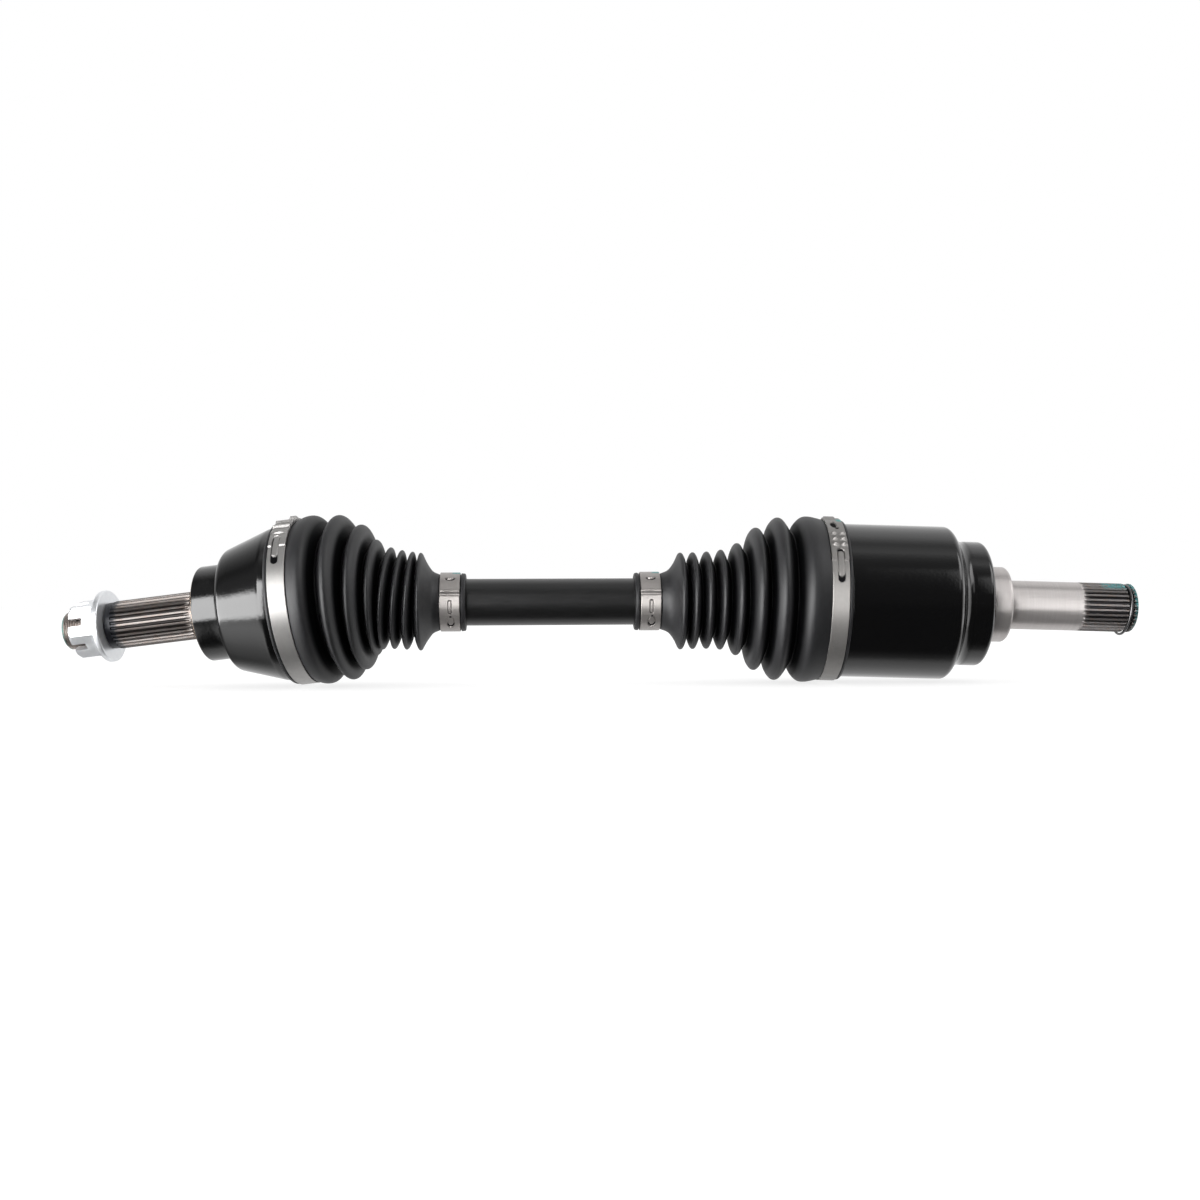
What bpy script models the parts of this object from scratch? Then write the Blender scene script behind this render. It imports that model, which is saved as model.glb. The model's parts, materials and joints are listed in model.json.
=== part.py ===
"""Front-wheel drive shaft (constant-velocity axle), built as the real one is assembled.

A solid bar joins two six-ball constant-velocity joints.  The outboard joint (-X end) is a
fixed joint in a bell with a splined, threaded stub and a castellated flange nut.  The inboard
joint (+X end) is a plunging joint in a long round housing with a splined output stub.
Each joint is sealed by a convoluted boot held by two metal clamps.

Frame: +X runs along the bar towards the inboard end, +Z is up, the origin is the centre of the
assembly's bounding box in the rest pose.  Units are metres; dimensions below are millimetres.
"""
import math

import bmesh
import bpy
from mathutils import Matrix, Vector

for old in list(bpy.data.objects):
    bpy.data.objects.remove(old, do_unlink=True)

MM = 0.001

# ---------------------------------------------------------------- driving dimensions (mm, degrees)
OUT_CENTRE = -177.8          # outboard joint centre on the bar axis
IN_CENTRE = 147.7            # inboard joint centre on the bar axis
OUT_PITCH, OUT_YAW = -6.75, -8.0    # rest articulation of the bell about Y and Z
IN_PITCH, IN_YAW = 1.83, -1.5       # rest articulation of the inboard housing
ORIGIN = (1.46, -0.72, 1.50)        # bar-axis coordinates of the bounding box centre

BAR_R = 13.6
BAR_NECK_R = 12.3
BAR_SPLINE_R, BAR_SPLINE_ROOT, BAR_TEETH = 12.0, 10.9, 16

OUT_BALL_R, OUT_PITCH_R = 9.0, 29.0
IN_BALL_R, IN_PITCH_R = 8.5, 27.5
BALLS = 6

SEAT_R = 42.9                # boot seat on bell and housing
BAND_IN, BAND_OUT = 46.7, 47.4
CUFF_IN, CUFF_OUT = 43.55, 46.4
SMALL_CUFF_IN, SMALL_CUFF_OUT = 13.95, 15.9
SMALL_BAND_IN, SMALL_BAND_OUT = 16.2, 17.0

STUB_SPLINE_R, STUB_SPLINE_ROOT, STUB_TEETH = 13.9, 12.6, 28
OUTPUT_SPLINE_R, OUTPUT_SPLINE_ROOT, OUTPUT_TEETH = 14.35, 13.1, 30
THREAD_R = 10.9
NUT_BORE_R = 11.25
HEX_FLATS = 30.0

GAP = 0.3


# ---------------------------------------------------------------- materials
def material(name, colour, rough, metal):
    m = bpy.data.materials.new(name)
    m.use_nodes = True
    bsdf = m.node_tree.nodes["Principled BSDF"]
    bsdf.inputs["Base Color"].default_value = (*colour, 1)
    bsdf.inputs["Roughness"].default_value = rough
    bsdf.inputs["Metallic"].default_value = metal
    m.diffuse_color = (*colour, 1)
    return m


LOOKS = {
    "black_paint": ((0.012, 0.012, 0.014), 0.22, 0.0),
    "bar_paint": ((0.02, 0.02, 0.022), 0.4, 0.0),
    "boot_rubber": ((0.045, 0.045, 0.048), 0.55, 0.0),
    "band_steel": ((0.72, 0.72, 0.72), 0.3, 1.0),
    "zinc": ((0.78, 0.78, 0.76), 0.35, 1.0),
    "bearing_steel": ((0.62, 0.62, 0.64), 0.2, 1.0),
    "spring_steel": ((0.16, 0.16, 0.17), 0.35, 1.0),
    "turned_steel": ((0.6, 0.58, 0.56), 0.35, 1.0),
}


def own_material(obj, look):
    colour, rough, metal = LOOKS[look]
    obj.data.materials.append(material(look + "." + obj.name, colour, rough, metal))


# ---------------------------------------------------------------- small modelling helpers
def finish(bm, name, smooth=math.radians(35)):
    bmesh.ops.recalc_face_normals(bm, faces=bm.faces)
    mesh = bpy.data.meshes.new(name)
    bm.to_mesh(mesh)
    bm.free()
    mesh.shade_smooth()
    mesh.set_sharp_from_angle(angle=smooth)
    obj = bpy.data.objects.new(name, mesh)
    bpy.context.scene.collection.objects.link(obj)
    return obj


def turned(profile, steps, closed=False, phase=0.0):
    """A bmesh turned about the X axis from (x, r) points in mm; r = 0 points lie on the axis."""
    bm = bmesh.new()
    ring = [bm.verts.new((x * MM, 0.0, r * MM)) for x, r in profile]
    edges = [bm.edges.new((a, b)) for a, b in zip(ring, ring[1:])]
    if closed:
        edges.append(bm.edges.new((ring[-1], ring[0])))
    if phase:
        bmesh.ops.rotate(bm, verts=ring, cent=(0, 0, 0), matrix=Matrix.Rotation(phase, 3, "X"))
    bmesh.ops.spin(bm, geom=ring + edges, cent=(0, 0, 0), axis=(1, 0, 0),
                   angle=2 * math.pi, steps=steps, use_merge=True)
    bmesh.ops.remove_doubles(bm, verts=bm.verts, dist=1e-7)
    bmesh.ops.dissolve_degenerate(bm, edges=bm.edges, dist=1e-8)
    bmesh.ops.recalc_face_normals(bm, faces=bm.faces)
    return bm


def arc(radius, start, end, steps, x0=0.0):
    """(x, r) points on a circle about the axis point x0; the angle is measured from +X, degrees."""
    out = []
    for i in range(steps + 1):
        a = math.radians(start + (end - start) * i / steps)
        out.append((x0 + radius * math.cos(a), radius * math.sin(a)))
    return out


def toothed_prism(x0, x1, tip, root, teeth, chamfer=0.0, tip_part=0.4):
    """A straight-sided spline between x0 and x1: each tooth has a flat tip and a vee root."""
    bm = bmesh.new()

    def section(x, drop):
        ring = []
        for t in range(teeth):
            for share, rad in ((-tip_part / 2, tip), (tip_part / 2, tip), (0.5, root)):
                a = 2 * math.pi * (t + share) / teeth
                rad_here = max(rad - drop, root - drop * 0.2) if drop else rad
                ring.append(bm.verts.new((x * MM, rad_here * math.sin(a) * MM, rad_here * math.cos(a) * MM)))
        return ring

    rings = []
    if chamfer:
        rings = [section(x0, chamfer), section(x0 + chamfer, 0), section(x1 - chamfer, 0), section(x1, chamfer)]
    else:
        rings = [section(x0, 0), section(x1, 0)]
    for a, b in zip(rings, rings[1:]):
        for i in range(len(a)):
            j = (i + 1) % len(a)
            bm.faces.new((a[i], a[j], b[j], b[i]))
    bm.faces.new(rings[0][::-1])
    bm.faces.new(rings[-1])
    bmesh.ops.recalc_face_normals(bm, faces=bm.faces)
    return bm


def tube_along(points, sides=10):
    """A round bar through (centre, radius, normal direction of the section) points, capped."""
    bm = bmesh.new()
    rings = []
    for centre, radius, along, side in points:
        up = along.cross(side).normalized()
        ring = []
        for k in range(sides):
            a = 2 * math.pi * (k + 0.5) / sides
            ring.append(bm.verts.new((centre + (side * math.cos(a) + up * math.sin(a)) * radius) * MM))
        rings.append(ring)
    for a, b in zip(rings, rings[1:]):
        for i in range(sides):
            j = (i + 1) % sides
            bm.faces.new((a[i], a[j], b[j], b[i]))
    bm.faces.new(rings[0][::-1])
    bm.faces.new(rings[-1])
    bmesh.ops.recalc_face_normals(bm, faces=bm.faces)
    return bm


def block(lx, ly, lz, centre):
    bm = bmesh.new()
    bmesh.ops.create_cube(bm, size=1.0)
    for v in bm.verts:
        v.co = Vector((v.co.x * lx, v.co.y * ly, v.co.z * lz)) * MM + Vector(centre) * MM
    bmesh.ops.recalc_face_normals(bm, faces=bm.faces)
    return bm


def roll(bm, degrees):
    bmesh.ops.rotate(bm, verts=bm.verts, cent=(0, 0, 0), matrix=Matrix.Rotation(math.radians(degrees), 3, "X"))
    return bm


def boolean(obj, bm, operation, name):
    """Adds a Boolean modifier with a hidden wire cutter; the cutter shares the object's parent."""
    bmesh.ops.recalc_face_normals(bm, faces=bm.faces)
    mesh = bpy.data.meshes.new(name)
    bm.to_mesh(mesh)
    bm.free()
    cutter = bpy.data.objects.new(name, mesh)
    bpy.context.scene.collection.objects.link(cutter)
    cutter.parent = obj
    cutter.hide_render = True
    cutter.display_type = "WIRE"
    mod = obj.modifiers.new(name, "BOOLEAN")
    mod.operation = operation
    mod.solver = "EXACT"
    mod.object = cutter
    return obj


def empty(name, parent=None, location=(0, 0, 0), matrix=None):
    e = bpy.data.objects.new(name, None)
    bpy.context.scene.collection.objects.link(e)
    e.empty_display_size = 0.02
    e.parent = parent
    if matrix is not None:
        e.matrix_local = matrix
    else:
        e.location = [c * MM for c in location]
    return e


def hang(obj, parent, look):
    obj.parent = parent
    own_material(obj, look)
    return obj


def turn(pitch, yaw, order):
    """The rotation made of half steps of pitch (about Y) and yaw (about Z), in the given order."""
    m = Matrix.Identity(4)
    for step in order:
        m = m @ (Matrix.Rotation(math.radians(pitch / 2), 4, "Y") if step == "P"
                 else Matrix.Rotation(math.radians(yaw / 2), 4, "Z"))
    return m


# ---------------------------------------------------------------- frames: bar, joint stages
bar_frame = empty("bar_frame", location=(-ORIGIN[0], -ORIGIN[1], -ORIGIN[2]))


def stages(tag, centre, pitch, yaw):
    """The joint's four stages: a half pitch, a half yaw, a half yaw and a half pitch."""
    place = Matrix.Translation((centre * MM, 0, 0))
    return {
        "pitch_in": empty(tag + "_pitch_in", bar_frame, matrix=place @ turn(pitch, yaw, "P")),
        "cage": empty(tag + "_cage_frame", bar_frame, matrix=place @ turn(pitch, yaw, "PY")),
        "yaw_out": empty(tag + "_yaw_out", bar_frame, matrix=place @ turn(pitch, yaw, "PYY")),
        "outer": empty(tag + "_outer_frame", bar_frame, matrix=place @ turn(pitch, yaw, "PYYP")),
        "bar": empty(tag + "_bar_side", bar_frame, matrix=place),
    }


OUT = stages("outboard", OUT_CENTRE, OUT_PITCH, OUT_YAW)
INB = stages("inboard", IN_CENTRE, IN_PITCH, IN_YAW)


# ---------------------------------------------------------------- drive bar with two splined ends
o, i = OUT_CENTRE, IN_CENTRE
bar_profile = [
    (o - 15.5, 0.0), (o - 15.5, 9.6), (o - 14.7, BAR_SPLINE_ROOT - 0.5), (o + 14.4, BAR_SPLINE_ROOT - 0.5),
    (o + 16.4, BAR_NECK_R), (o + 62.0, BAR_NECK_R), (o + 68.0, BAR_R),
    (i - 96.0, BAR_R), (i - 90.0, BAR_NECK_R), (i - 16.4, BAR_NECK_R), (i - 14.4, BAR_SPLINE_ROOT - 0.5),
    (i + 14.7, BAR_SPLINE_ROOT - 0.5), (i + 15.5, 9.6), (i + 15.5, 0.0),
]
drive_bar = hang(finish(turned(bar_profile, 28), "drive_bar"), bar_frame, "bar_paint")
for tag, c in (("outboard", o), ("inboard", i)):
    boolean(drive_bar, toothed_prism(c - 12.15, c + 12.15, BAR_SPLINE_R, BAR_SPLINE_ROOT, BAR_TEETH), "UNION",
            "bar_spline_" + tag)


def inner_race(tag, frame, sphere, half, pitch_r, cutter):
    bore = BAR_SPLINE_ROOT - 0.2
    side = math.degrees(math.acos(half / sphere))
    profile = [(-half, bore)] + arc(sphere, 180 - side, side, 4) + [(half, bore)]
    race = hang(finish(turned(profile, 30, closed=True), tag + "_inner_race"), frame, "bearing_steel")
    boolean(race, toothed_prism(-half - 2, half + 2, BAR_SPLINE_R + GAP, BAR_SPLINE_ROOT + GAP, BAR_TEETH,
                                tip_part=0.5), "DIFFERENCE", tag + "_race_spline")
    for k in range(BALLS):
        boolean(race, roll(cutter(), 60 * k), "DIFFERENCE", "%s_race_track_%d" % (tag, k + 1))
    return race


def curved_track(pitch_r, table):
    """A track cutter whose centre line is an arc about the joint centre, at the top."""
    pts = []
    for angle, radius in table:
        a = math.radians(angle)
        centre = Vector((math.sin(a), 0, math.cos(a))) * pitch_r
        along = Vector((math.cos(a), 0, -math.sin(a)))
        pts.append((centre, radius, along, Vector((0, 1, 0))))
    return tube_along(pts)


def bell_track():
    table = [(-43, 6.0), (-36, 9.6), (-26, 11.0), (-12, 11.5), (0, 10.3), (12, 11.5), (24, 11.3), (38, 11.3), (52, 11.3)]
    return curved_track(OUT_PITCH_R, table)


def outboard_race_track():
    return curved_track(OUT_PITCH_R, [(-40, 11.3), (-24, 11.2), (-12, 11.5), (0, 10.3), (12, 11.5), (24, 11.2), (40, 11.3)])


def inboard_race_track():
    return curved_track(IN_PITCH_R, [(-40, 9.65), (-20, 9.65), (0, 9.65), (20, 9.65), (40, 9.65)])


# ---------------------------------------------------------------- cages, races, balls, rings
def cage(tag, frame, outer, inner, half, window):
    so = math.degrees(math.acos(half / outer))
    si = math.degrees(math.acos(half / inner))
    profile = arc(outer, 180 - so, so, 4) + arc(inner, si, 180 - si, 4)
    c = hang(finish(turned(profile, 30, closed=True), tag + "_cage"), frame, "bearing_steel")
    for k in range(BALLS):
        boolean(c, roll(block(window[0], window[1], 24.0, (0, 0, 32.0)), 60 * k), "DIFFERENCE",
                "%s_cage_window_%d" % (tag, k + 1))
    return c


def ball(tag, number, frame, pitch_r, radius):
    bm = bmesh.new()
    bmesh.ops.create_uvsphere(bm, u_segments=12, v_segments=8, radius=radius * MM)
    a = math.radians(60 * (number - 1))
    bmesh.ops.translate(bm, verts=bm.verts, vec=Vector((0, -math.sin(a), math.cos(a))) * pitch_r * MM)
    return hang(finish(bm, "%s_ball_%d" % (tag, number), math.radians(60)), frame, "bearing_steel")


def flat_ring(name, frame, x0, x1, inner, outer, look, gap_deg=0.0, steps=32):
    """A square-section ring; with a gap it is an open snap ring."""
    if not gap_deg:
        return hang(finish(turned([(x0, inner), (x1, inner), (x1, outer), (x0, outer)], steps, closed=True), name),
                    frame, look)
    bm = bmesh.new()
    span = 2 * math.pi - math.radians(gap_deg)
    rings = []
    for k in range(steps + 1):
        a = math.radians(gap_deg) / 2 + span * k / steps
        rings.append([bm.verts.new((x * MM, r * math.sin(a) * MM, -r * math.cos(a) * MM))
                      for x, r in ((x0, inner), (x1, inner), (x1, outer), (x0, outer))])
    for a, b in zip(rings, rings[1:]):
        for k in range(4):
            bm.faces.new((a[k], a[(k + 1) % 4], b[(k + 1) % 4], b[k]))
    bm.faces.new(rings[0][::-1])
    bm.faces.new(rings[-1])
    return hang(finish(bm, name), frame, look)


inner_race("outboard", OUT["bar"], 26.6, 12.0, OUT_PITCH_R, outboard_race_track)
inner_race("inboard", INB["bar"], 25.1, 12.0, IN_PITCH_R, inboard_race_track)
cage("outboard", OUT["cage"], 31.5, 27.1, 13.5, (18.8, 20.4))
cage("inboard", INB["cage"], 31.0, 25.6, 13.0, (17.8, 19.2))
for tag, S, pr, br in (("outboard", OUT, OUT_PITCH_R, OUT_BALL_R), ("inboard", INB, IN_PITCH_R, IN_BALL_R)):
    for n in range(1, BALLS + 1):
        ball(tag, n, {1: S["pitch_in"], 4: S["yaw_out"]}.get(n, S["cage"]), pr, br)
ROOT_R = BAR_SPLINE_ROOT - 0.5
flat_ring("outboard_circlip", OUT["bar"], -13.75, -12.35, ROOT_R + GAP, 13.6, "spring_steel", 24)
flat_ring("outboard_stop_ring", OUT["bar"], 12.35, 13.75, ROOT_R + GAP, 13.2, "spring_steel", 24)
flat_ring("inboard_stop_ring", INB["bar"], -13.75, -12.35, ROOT_R + GAP, 13.2, "spring_steel", 24)
flat_ring("inboard_circlip", INB["bar"], 12.35, 13.75, ROOT_R + GAP, 13.6, "spring_steel", 24)

# ---------------------------------------------------------------- outboard bell with stub
cavity = arc(32.3, 180, 81.5, 6)
bell_profile = (
    [(13.5, 40.6), (13.5, SEAT_R), (-2.35, SEAT_R), (-2.35, 43.9), (-6.4, 43.9),
     (-33.0, 35.3), (-35.4, 32.2), (-35.9, 27.55), (-50.2, 27.55), (-50.9, 26.9),
     (-50.9, 15.6), (-54.6, 13.8), (-58.5, STUB_SPLINE_ROOT - 0.35), (-105.0, STUB_SPLINE_ROOT - 0.35),
     (-107.2, THREAD_R), (-133.9, THREAD_R), (-135.1, 9.8), (-135.1, 0.0)]
)
bell = hang(finish(turned(cavity + bell_profile, 32), "outboard_bell"), OUT["outer"], "black_paint")
boolean(bell, toothed_prism(-106.6, -56.6, STUB_SPLINE_R, STUB_SPLINE_ROOT, STUB_TEETH), "UNION", "stub_spline")
for k in range(BALLS):
    boolean(bell, roll(bell_track(), 60 * k), "DIFFERENCE", "bell_track_%d" % (k + 1))

# ---------------------------------------------------------------- castellated flange nut
nut_axis = empty("hub_nut_axis", OUT["outer"])
nut = finish(turned([(-108.9, NUT_BORE_R + 0.6), (-108.9, 20.4), (-109.5, 20.9), (-111.2, 20.9), (-114.4, 17.4),
                     (-116.0, 14.6), (-116.0, NUT_BORE_R), (-109.4, NUT_BORE_R)], 28, closed=True), "hub_nut")
hang(nut, nut_axis, "zinc")
bm = bmesh.new()
hexr = HEX_FLATS / 2 / math.cos(math.pi / 6)
bmesh.ops.create_circle(bm, cap_ends=True, segments=6, radius=hexr * MM)
bmesh.ops.rotate(bm, verts=bm.verts, cent=(0, 0, 0), matrix=Matrix.Rotation(math.radians(90), 3, "Y"))
out = bmesh.ops.extrude_face_region(bm, geom=list(bm.faces))
bmesh.ops.translate(bm, verts=[v for v in out["geom"] if isinstance(v, bmesh.types.BMVert)], vec=(-15.6 * MM, 0, 0))
bmesh.ops.translate(bm, verts=bm.verts, vec=(-113.2 * MM, 0, 0))
bmesh.ops.recalc_face_normals(bm, faces=bm.faces)
HEX_TURN = 13.5     # roll of the hexagon, degrees: corners at 43.5 and every 60 from there
boolean(nut, roll(bm, HEX_TURN), "UNION", "nut_hexagon")
boolean(nut, turned([(-100.0, 0.0), (-100.0, NUT_BORE_R), (-135.0, NUT_BORE_R), (-135.0, 0.0)], 28), "DIFFERENCE", "nut_bore")
for k in range(3):
    boolean(nut, roll(block(16.0, 4.8, 60.0, (-128.8, 0, 0)), HEX_TURN + 60 * k), "DIFFERENCE", "nut_slot_%d" % (k + 1))

# ---------------------------------------------------------------- inboard housing with output stub
housing_profile = [
    (50.5, 0.0), (50.5, 31.5), (-17.0, 31.5), (-17.0, 33.55), (-19.4, 33.55), (-19.4, 31.5),
    (-20.2, 31.5), (-22.5, 33.8), (-22.5, SEAT_R), (-6.8, SEAT_R), (-6.8, 44.95),
    (54.6, 44.95), (55.9, 44.1), (59.2, 38.4), (62.6, 36.2), (75.2, 36.4), (76.4, 35.2),
    (76.4, 22.1), (90.0, 22.1), (91.0, 21.1), (91.0, 14.3), (134.0, 14.3), (137.4, 12.75),
    (161.3, 12.75), (161.3, 12.35), (164.3, 12.35), (164.3, 12.75), (167.3, 11.8), (167.3, 0.0)]
housing = hang(finish(turned(housing_profile, 32), "inboard_housing"), INB["outer"], "black_paint")
boolean(housing, toothed_prism(136.4, 161.3, OUTPUT_SPLINE_R, OUTPUT_SPLINE_ROOT, OUTPUT_TEETH), "UNION", "output_spline")
spline_tip = toothed_prism(164.3, 166.9, OUTPUT_SPLINE_R, OUTPUT_SPLINE_ROOT, OUTPUT_TEETH)
for v in spline_tip.verts:
    if v.co.x > 166.8 * MM:
        v.co.y *= 0.91
        v.co.z *= 0.91
boolean(housing, spline_tip, "UNION", "output_spline_tip")
for k in range(BALLS):
    side = Vector((0, 1, 0))
    along = Vector((1, 0, 0))
    track = tube_along([(Vector((-30, 0, IN_PITCH_R)), 9.6, along, side), (Vector((46, 0, IN_PITCH_R)), 9.6, along, side)])
    boolean(housing, roll(track, 60 * k), "DIFFERENCE", "housing_track_%d" % (k + 1))
flat_ring("inboard_mouth_ring", INB["outer"], -19.0, -17.4, 30.5, 33.2, "spring_steel", 20, 32)


def torus_ring(name, frame, centre, tilt, radius, wire, look, gap_deg, steps=32, sides=6):
    """An open round-wire ring; its gap is at +Y, its plane is tilted about Y by tilt degrees."""
    bm = bmesh.new()
    rings = []
    span = 2 * math.pi - math.radians(gap_deg)
    for k in range(steps + 1):
        a = math.radians(gap_deg) / 2 + span * k / steps
        out_dir = Vector((0, math.cos(a), math.sin(a)))
        ring = []
        for s in range(sides):
            b = 2 * math.pi * s / sides
            ring.append(bm.verts.new((out_dir * (radius + wire * math.cos(b)) + Vector((1, 0, 0)) * wire * math.sin(b)) * MM))
        rings.append(ring)
    for a, b in zip(rings, rings[1:]):
        for k in range(sides):
            bm.faces.new((a[k], a[(k + 1) % sides], b[(k + 1) % sides], b[k]))
    bm.faces.new(rings[0][::-1])
    bm.faces.new(rings[-1])
    bmesh.ops.rotate(bm, verts=bm.verts, cent=(0, 0, 0), matrix=Matrix.Rotation(math.radians(tilt), 3, "Y"))
    bmesh.ops.translate(bm, verts=bm.verts, vec=Vector(centre) * MM)
    return hang(finish(bm, name), frame, look)


torus_ring("stub_snap_ring", INB["outer"], (162.13, 0, -1.15), 5.0, 14.5, 0.75, "spring_steel", 22)


# ---------------------------------------------------------------- boots
def boot_profile(cuff_end, peaks, lip, wall):
    """Outer and inner outline of a boot. x is measured along the axis from the joint centre and
    sign * x grows towards the bar.  peaks: (x, r) of each convolution; valleys lie between."""
    outer = [(cuff_end, CUFF_OUT), (lip, CUFF_OUT)]
    inner = [(cuff_end, CUFF_IN), (lip - 1.6, CUFF_IN)]
    for n, (x, r) in enumerate(peaks):
        half = 1.8 if n else 2.4
        outer += [(x - half, r - 0.3), (x + half, r - 0.3)] if n < 4 else [(x, r)]
        inner.append((x, r - wall))
        if n + 1 < len(peaks):
            nx, nr = peaks[n + 1]
            vx = (x + nx) / 2
            depth = {0: 9.0, 1: 9.5, 2: 9.0, 3: 8.0}.get(n, 7.4)
            vr = min(r, nr) - depth if n > 2 else nr - depth
            outer.append((vx, max(vr, 20.6)))
            inner.append((vx + 0.3, max(vr, 20.6) - wall))
    return outer, inner


# how the outboard boot's folds lie when the joint rests at an angle: at each x along the boot, a
# shift (mm) and a tilt (radians) about the two cross axes
OUT_LEAN = [(8.0, 0.0, 0.0, 0.0), (16.4, 1.3, 0.012, 0.027), (30.3, 2.2, 0.016, 0.046), (40.3, 2.0, 0.048, 0.048),
            (47.3, 1.9, 0.060, 0.012), (54.6, 0.3, 0.131, 0.0), (61.5, -0.3, 0.113, 0.0), (67.6, 0.0, 0.082, 0.0),
            (73.8, 0.0, 0.012, 0.0), (80.0, 0.0, 0.0, 0.0)]


def lean_at(x, table):
    """Shift and tilts at x, eased between the table's rows."""
    if not table or x <= table[0][0] or x >= table[-1][0]:
        return 0.0, 0.0, 0.0
    for a, b in zip(table, table[1:]):
        if a[0] <= x <= b[0]:
            t = (x - a[0]) / (b[0] - a[0])
            t = t * t * (3 - 2 * t)
            return tuple(a[k] + (b[k] - a[k]) * t for k in (1, 2, 3))
    return 0.0, 0.0, 0.0


def boot(name, frame_outer, sign, cuff_end, lip, peaks, small, blend, origin_frame, steps=24, lean=()):
    """A turned boot, bent so that its large cuff is true to the joint's outer frame and its small
    cuff is true to the bar."""
    outer, inner = boot_profile(cuff_end, peaks, lip, 2.3)
    neck_in, cuff_a, cuff_b, lip_end = small
    outer += [(neck_in, 19.6), (cuff_a - 1.0, SMALL_CUFF_OUT + 0.9), (cuff_a, SMALL_CUFF_OUT), (cuff_b, SMALL_CUFF_OUT),
              (cuff_b + 0.3, SMALL_CUFF_OUT + 0.8), (lip_end, SMALL_CUFF_OUT + 0.6), (lip_end, SMALL_CUFF_IN)]
    inner += [(neck_in - 0.6, 17.2), (cuff_a - 1.5, SMALL_CUFF_IN)]
    profile = [(sign * x, r) for x, r in outer + inner[::-1]]
    bm = turned(profile, steps, closed=True)
    lo, hi = blend
    for v in bm.verts:
        t = min(max((sign * v.co.x / MM - lo) / (hi - lo), 0.0), 1.0)
        w = t * t * (3 - 2 * t)
        shift, tilt_z, tilt_y = lean_at(sign * v.co.x / MM, lean)
        v.co.x += shift * MM + tilt_z * v.co.z + tilt_y * v.co.y
        v.co = (frame_outer @ v.co) * (1 - w) + v.co * w
    return hang(finish(bm, name, math.radians(50)), origin_frame, "boot_rubber")


OUT_PEAKS = [(16.4, 48.7), (30.3, 47.2), (40.3, 41.4), (47.3, 33.4), (54.6, 29.1), (61.5, 28.2), (67.6, 28.0), (73.8, 28.0)]
IN_PEAKS = [(28.1, 48.6), (44.6, 47.4), (57.0, 41.5), (67.7, 32.7), (77.1, 29.0), (85.4, 28.2), (93.5, 28.0), (100.8, 28.0)]
boot("outboard_boot", turn(OUT_PITCH, OUT_YAW, "PYYP"), 1, -2.0, 12.6, OUT_PEAKS,
     (79.2, 84.6, 97.0, 99.8), (14.0, 84.0), OUT["bar"], lean=OUT_LEAN)
boot("inboard_boot", turn(IN_PITCH, IN_YAW, "PYYP"), -1, 7.1, 20.6, IN_PEAKS,
     (106.3, 112.9, 125.2, 127.8), (22.0, 111.0), INB["bar"])


# ---------------------------------------------------------------- boot clamps
def clamp(name, frame, x0, x1, inner, outer, lap_start, lap_end, lap, steps):
    """A thin band whose overlapped end is a raised lap between two angles from the top."""
    bm = turned([(x0, inner), (x1, inner), (x1, outer), (x0, outer)], steps, closed=True)
    mid = (inner + outer) / 2
    for v in bm.verts:
        r = math.hypot(v.co.y, v.co.z) / MM
        a = math.degrees(math.atan2(-v.co.y, v.co.z)) % 360
        if r > mid and lap_start <= a <= lap_end:
            f = (r + lap) / r
            v.co.y *= f
            v.co.z *= f
    return hang(finish(bm, name, math.radians(25)), frame, "band_steel")


clamp("outboard_large_clamp", OUT["outer"], 0.6, 10.5, BAND_IN, BAND_OUT, 0, 60, 1.3, 40)
clamp("inboard_large_clamp", INB["outer"], -19.0, -9.35, BAND_IN, BAND_OUT, 10, 70, 1.3, 40)
clamp("outboard_small_clamp", OUT["bar"], 85.2, 96.6, SMALL_BAND_IN, SMALL_BAND_OUT, 20, 100, 0.8, 32)
clamp("inboard_small_clamp", INB["bar"], -124.8, -113.3, SMALL_BAND_IN, SMALL_BAND_OUT, 20, 100, 0.8, 32)
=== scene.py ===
"""Looks of a drive shaft: a bar between two ball joints, with boots, clamps, stubs and a nut.

The bar runs along +X from the outboard joint (low X, bell with wheel stub and nut) to the
inboard joint (high X, housing with splined stub).  +Z is up and the camera looks along +Y.
Outlines are in mm in the frame of their own piece, X along its axis; scene units are metres.
"""
import json
import math

import bmesh
import bpy
import numpy as np
from mathutils import Matrix, Vector


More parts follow.
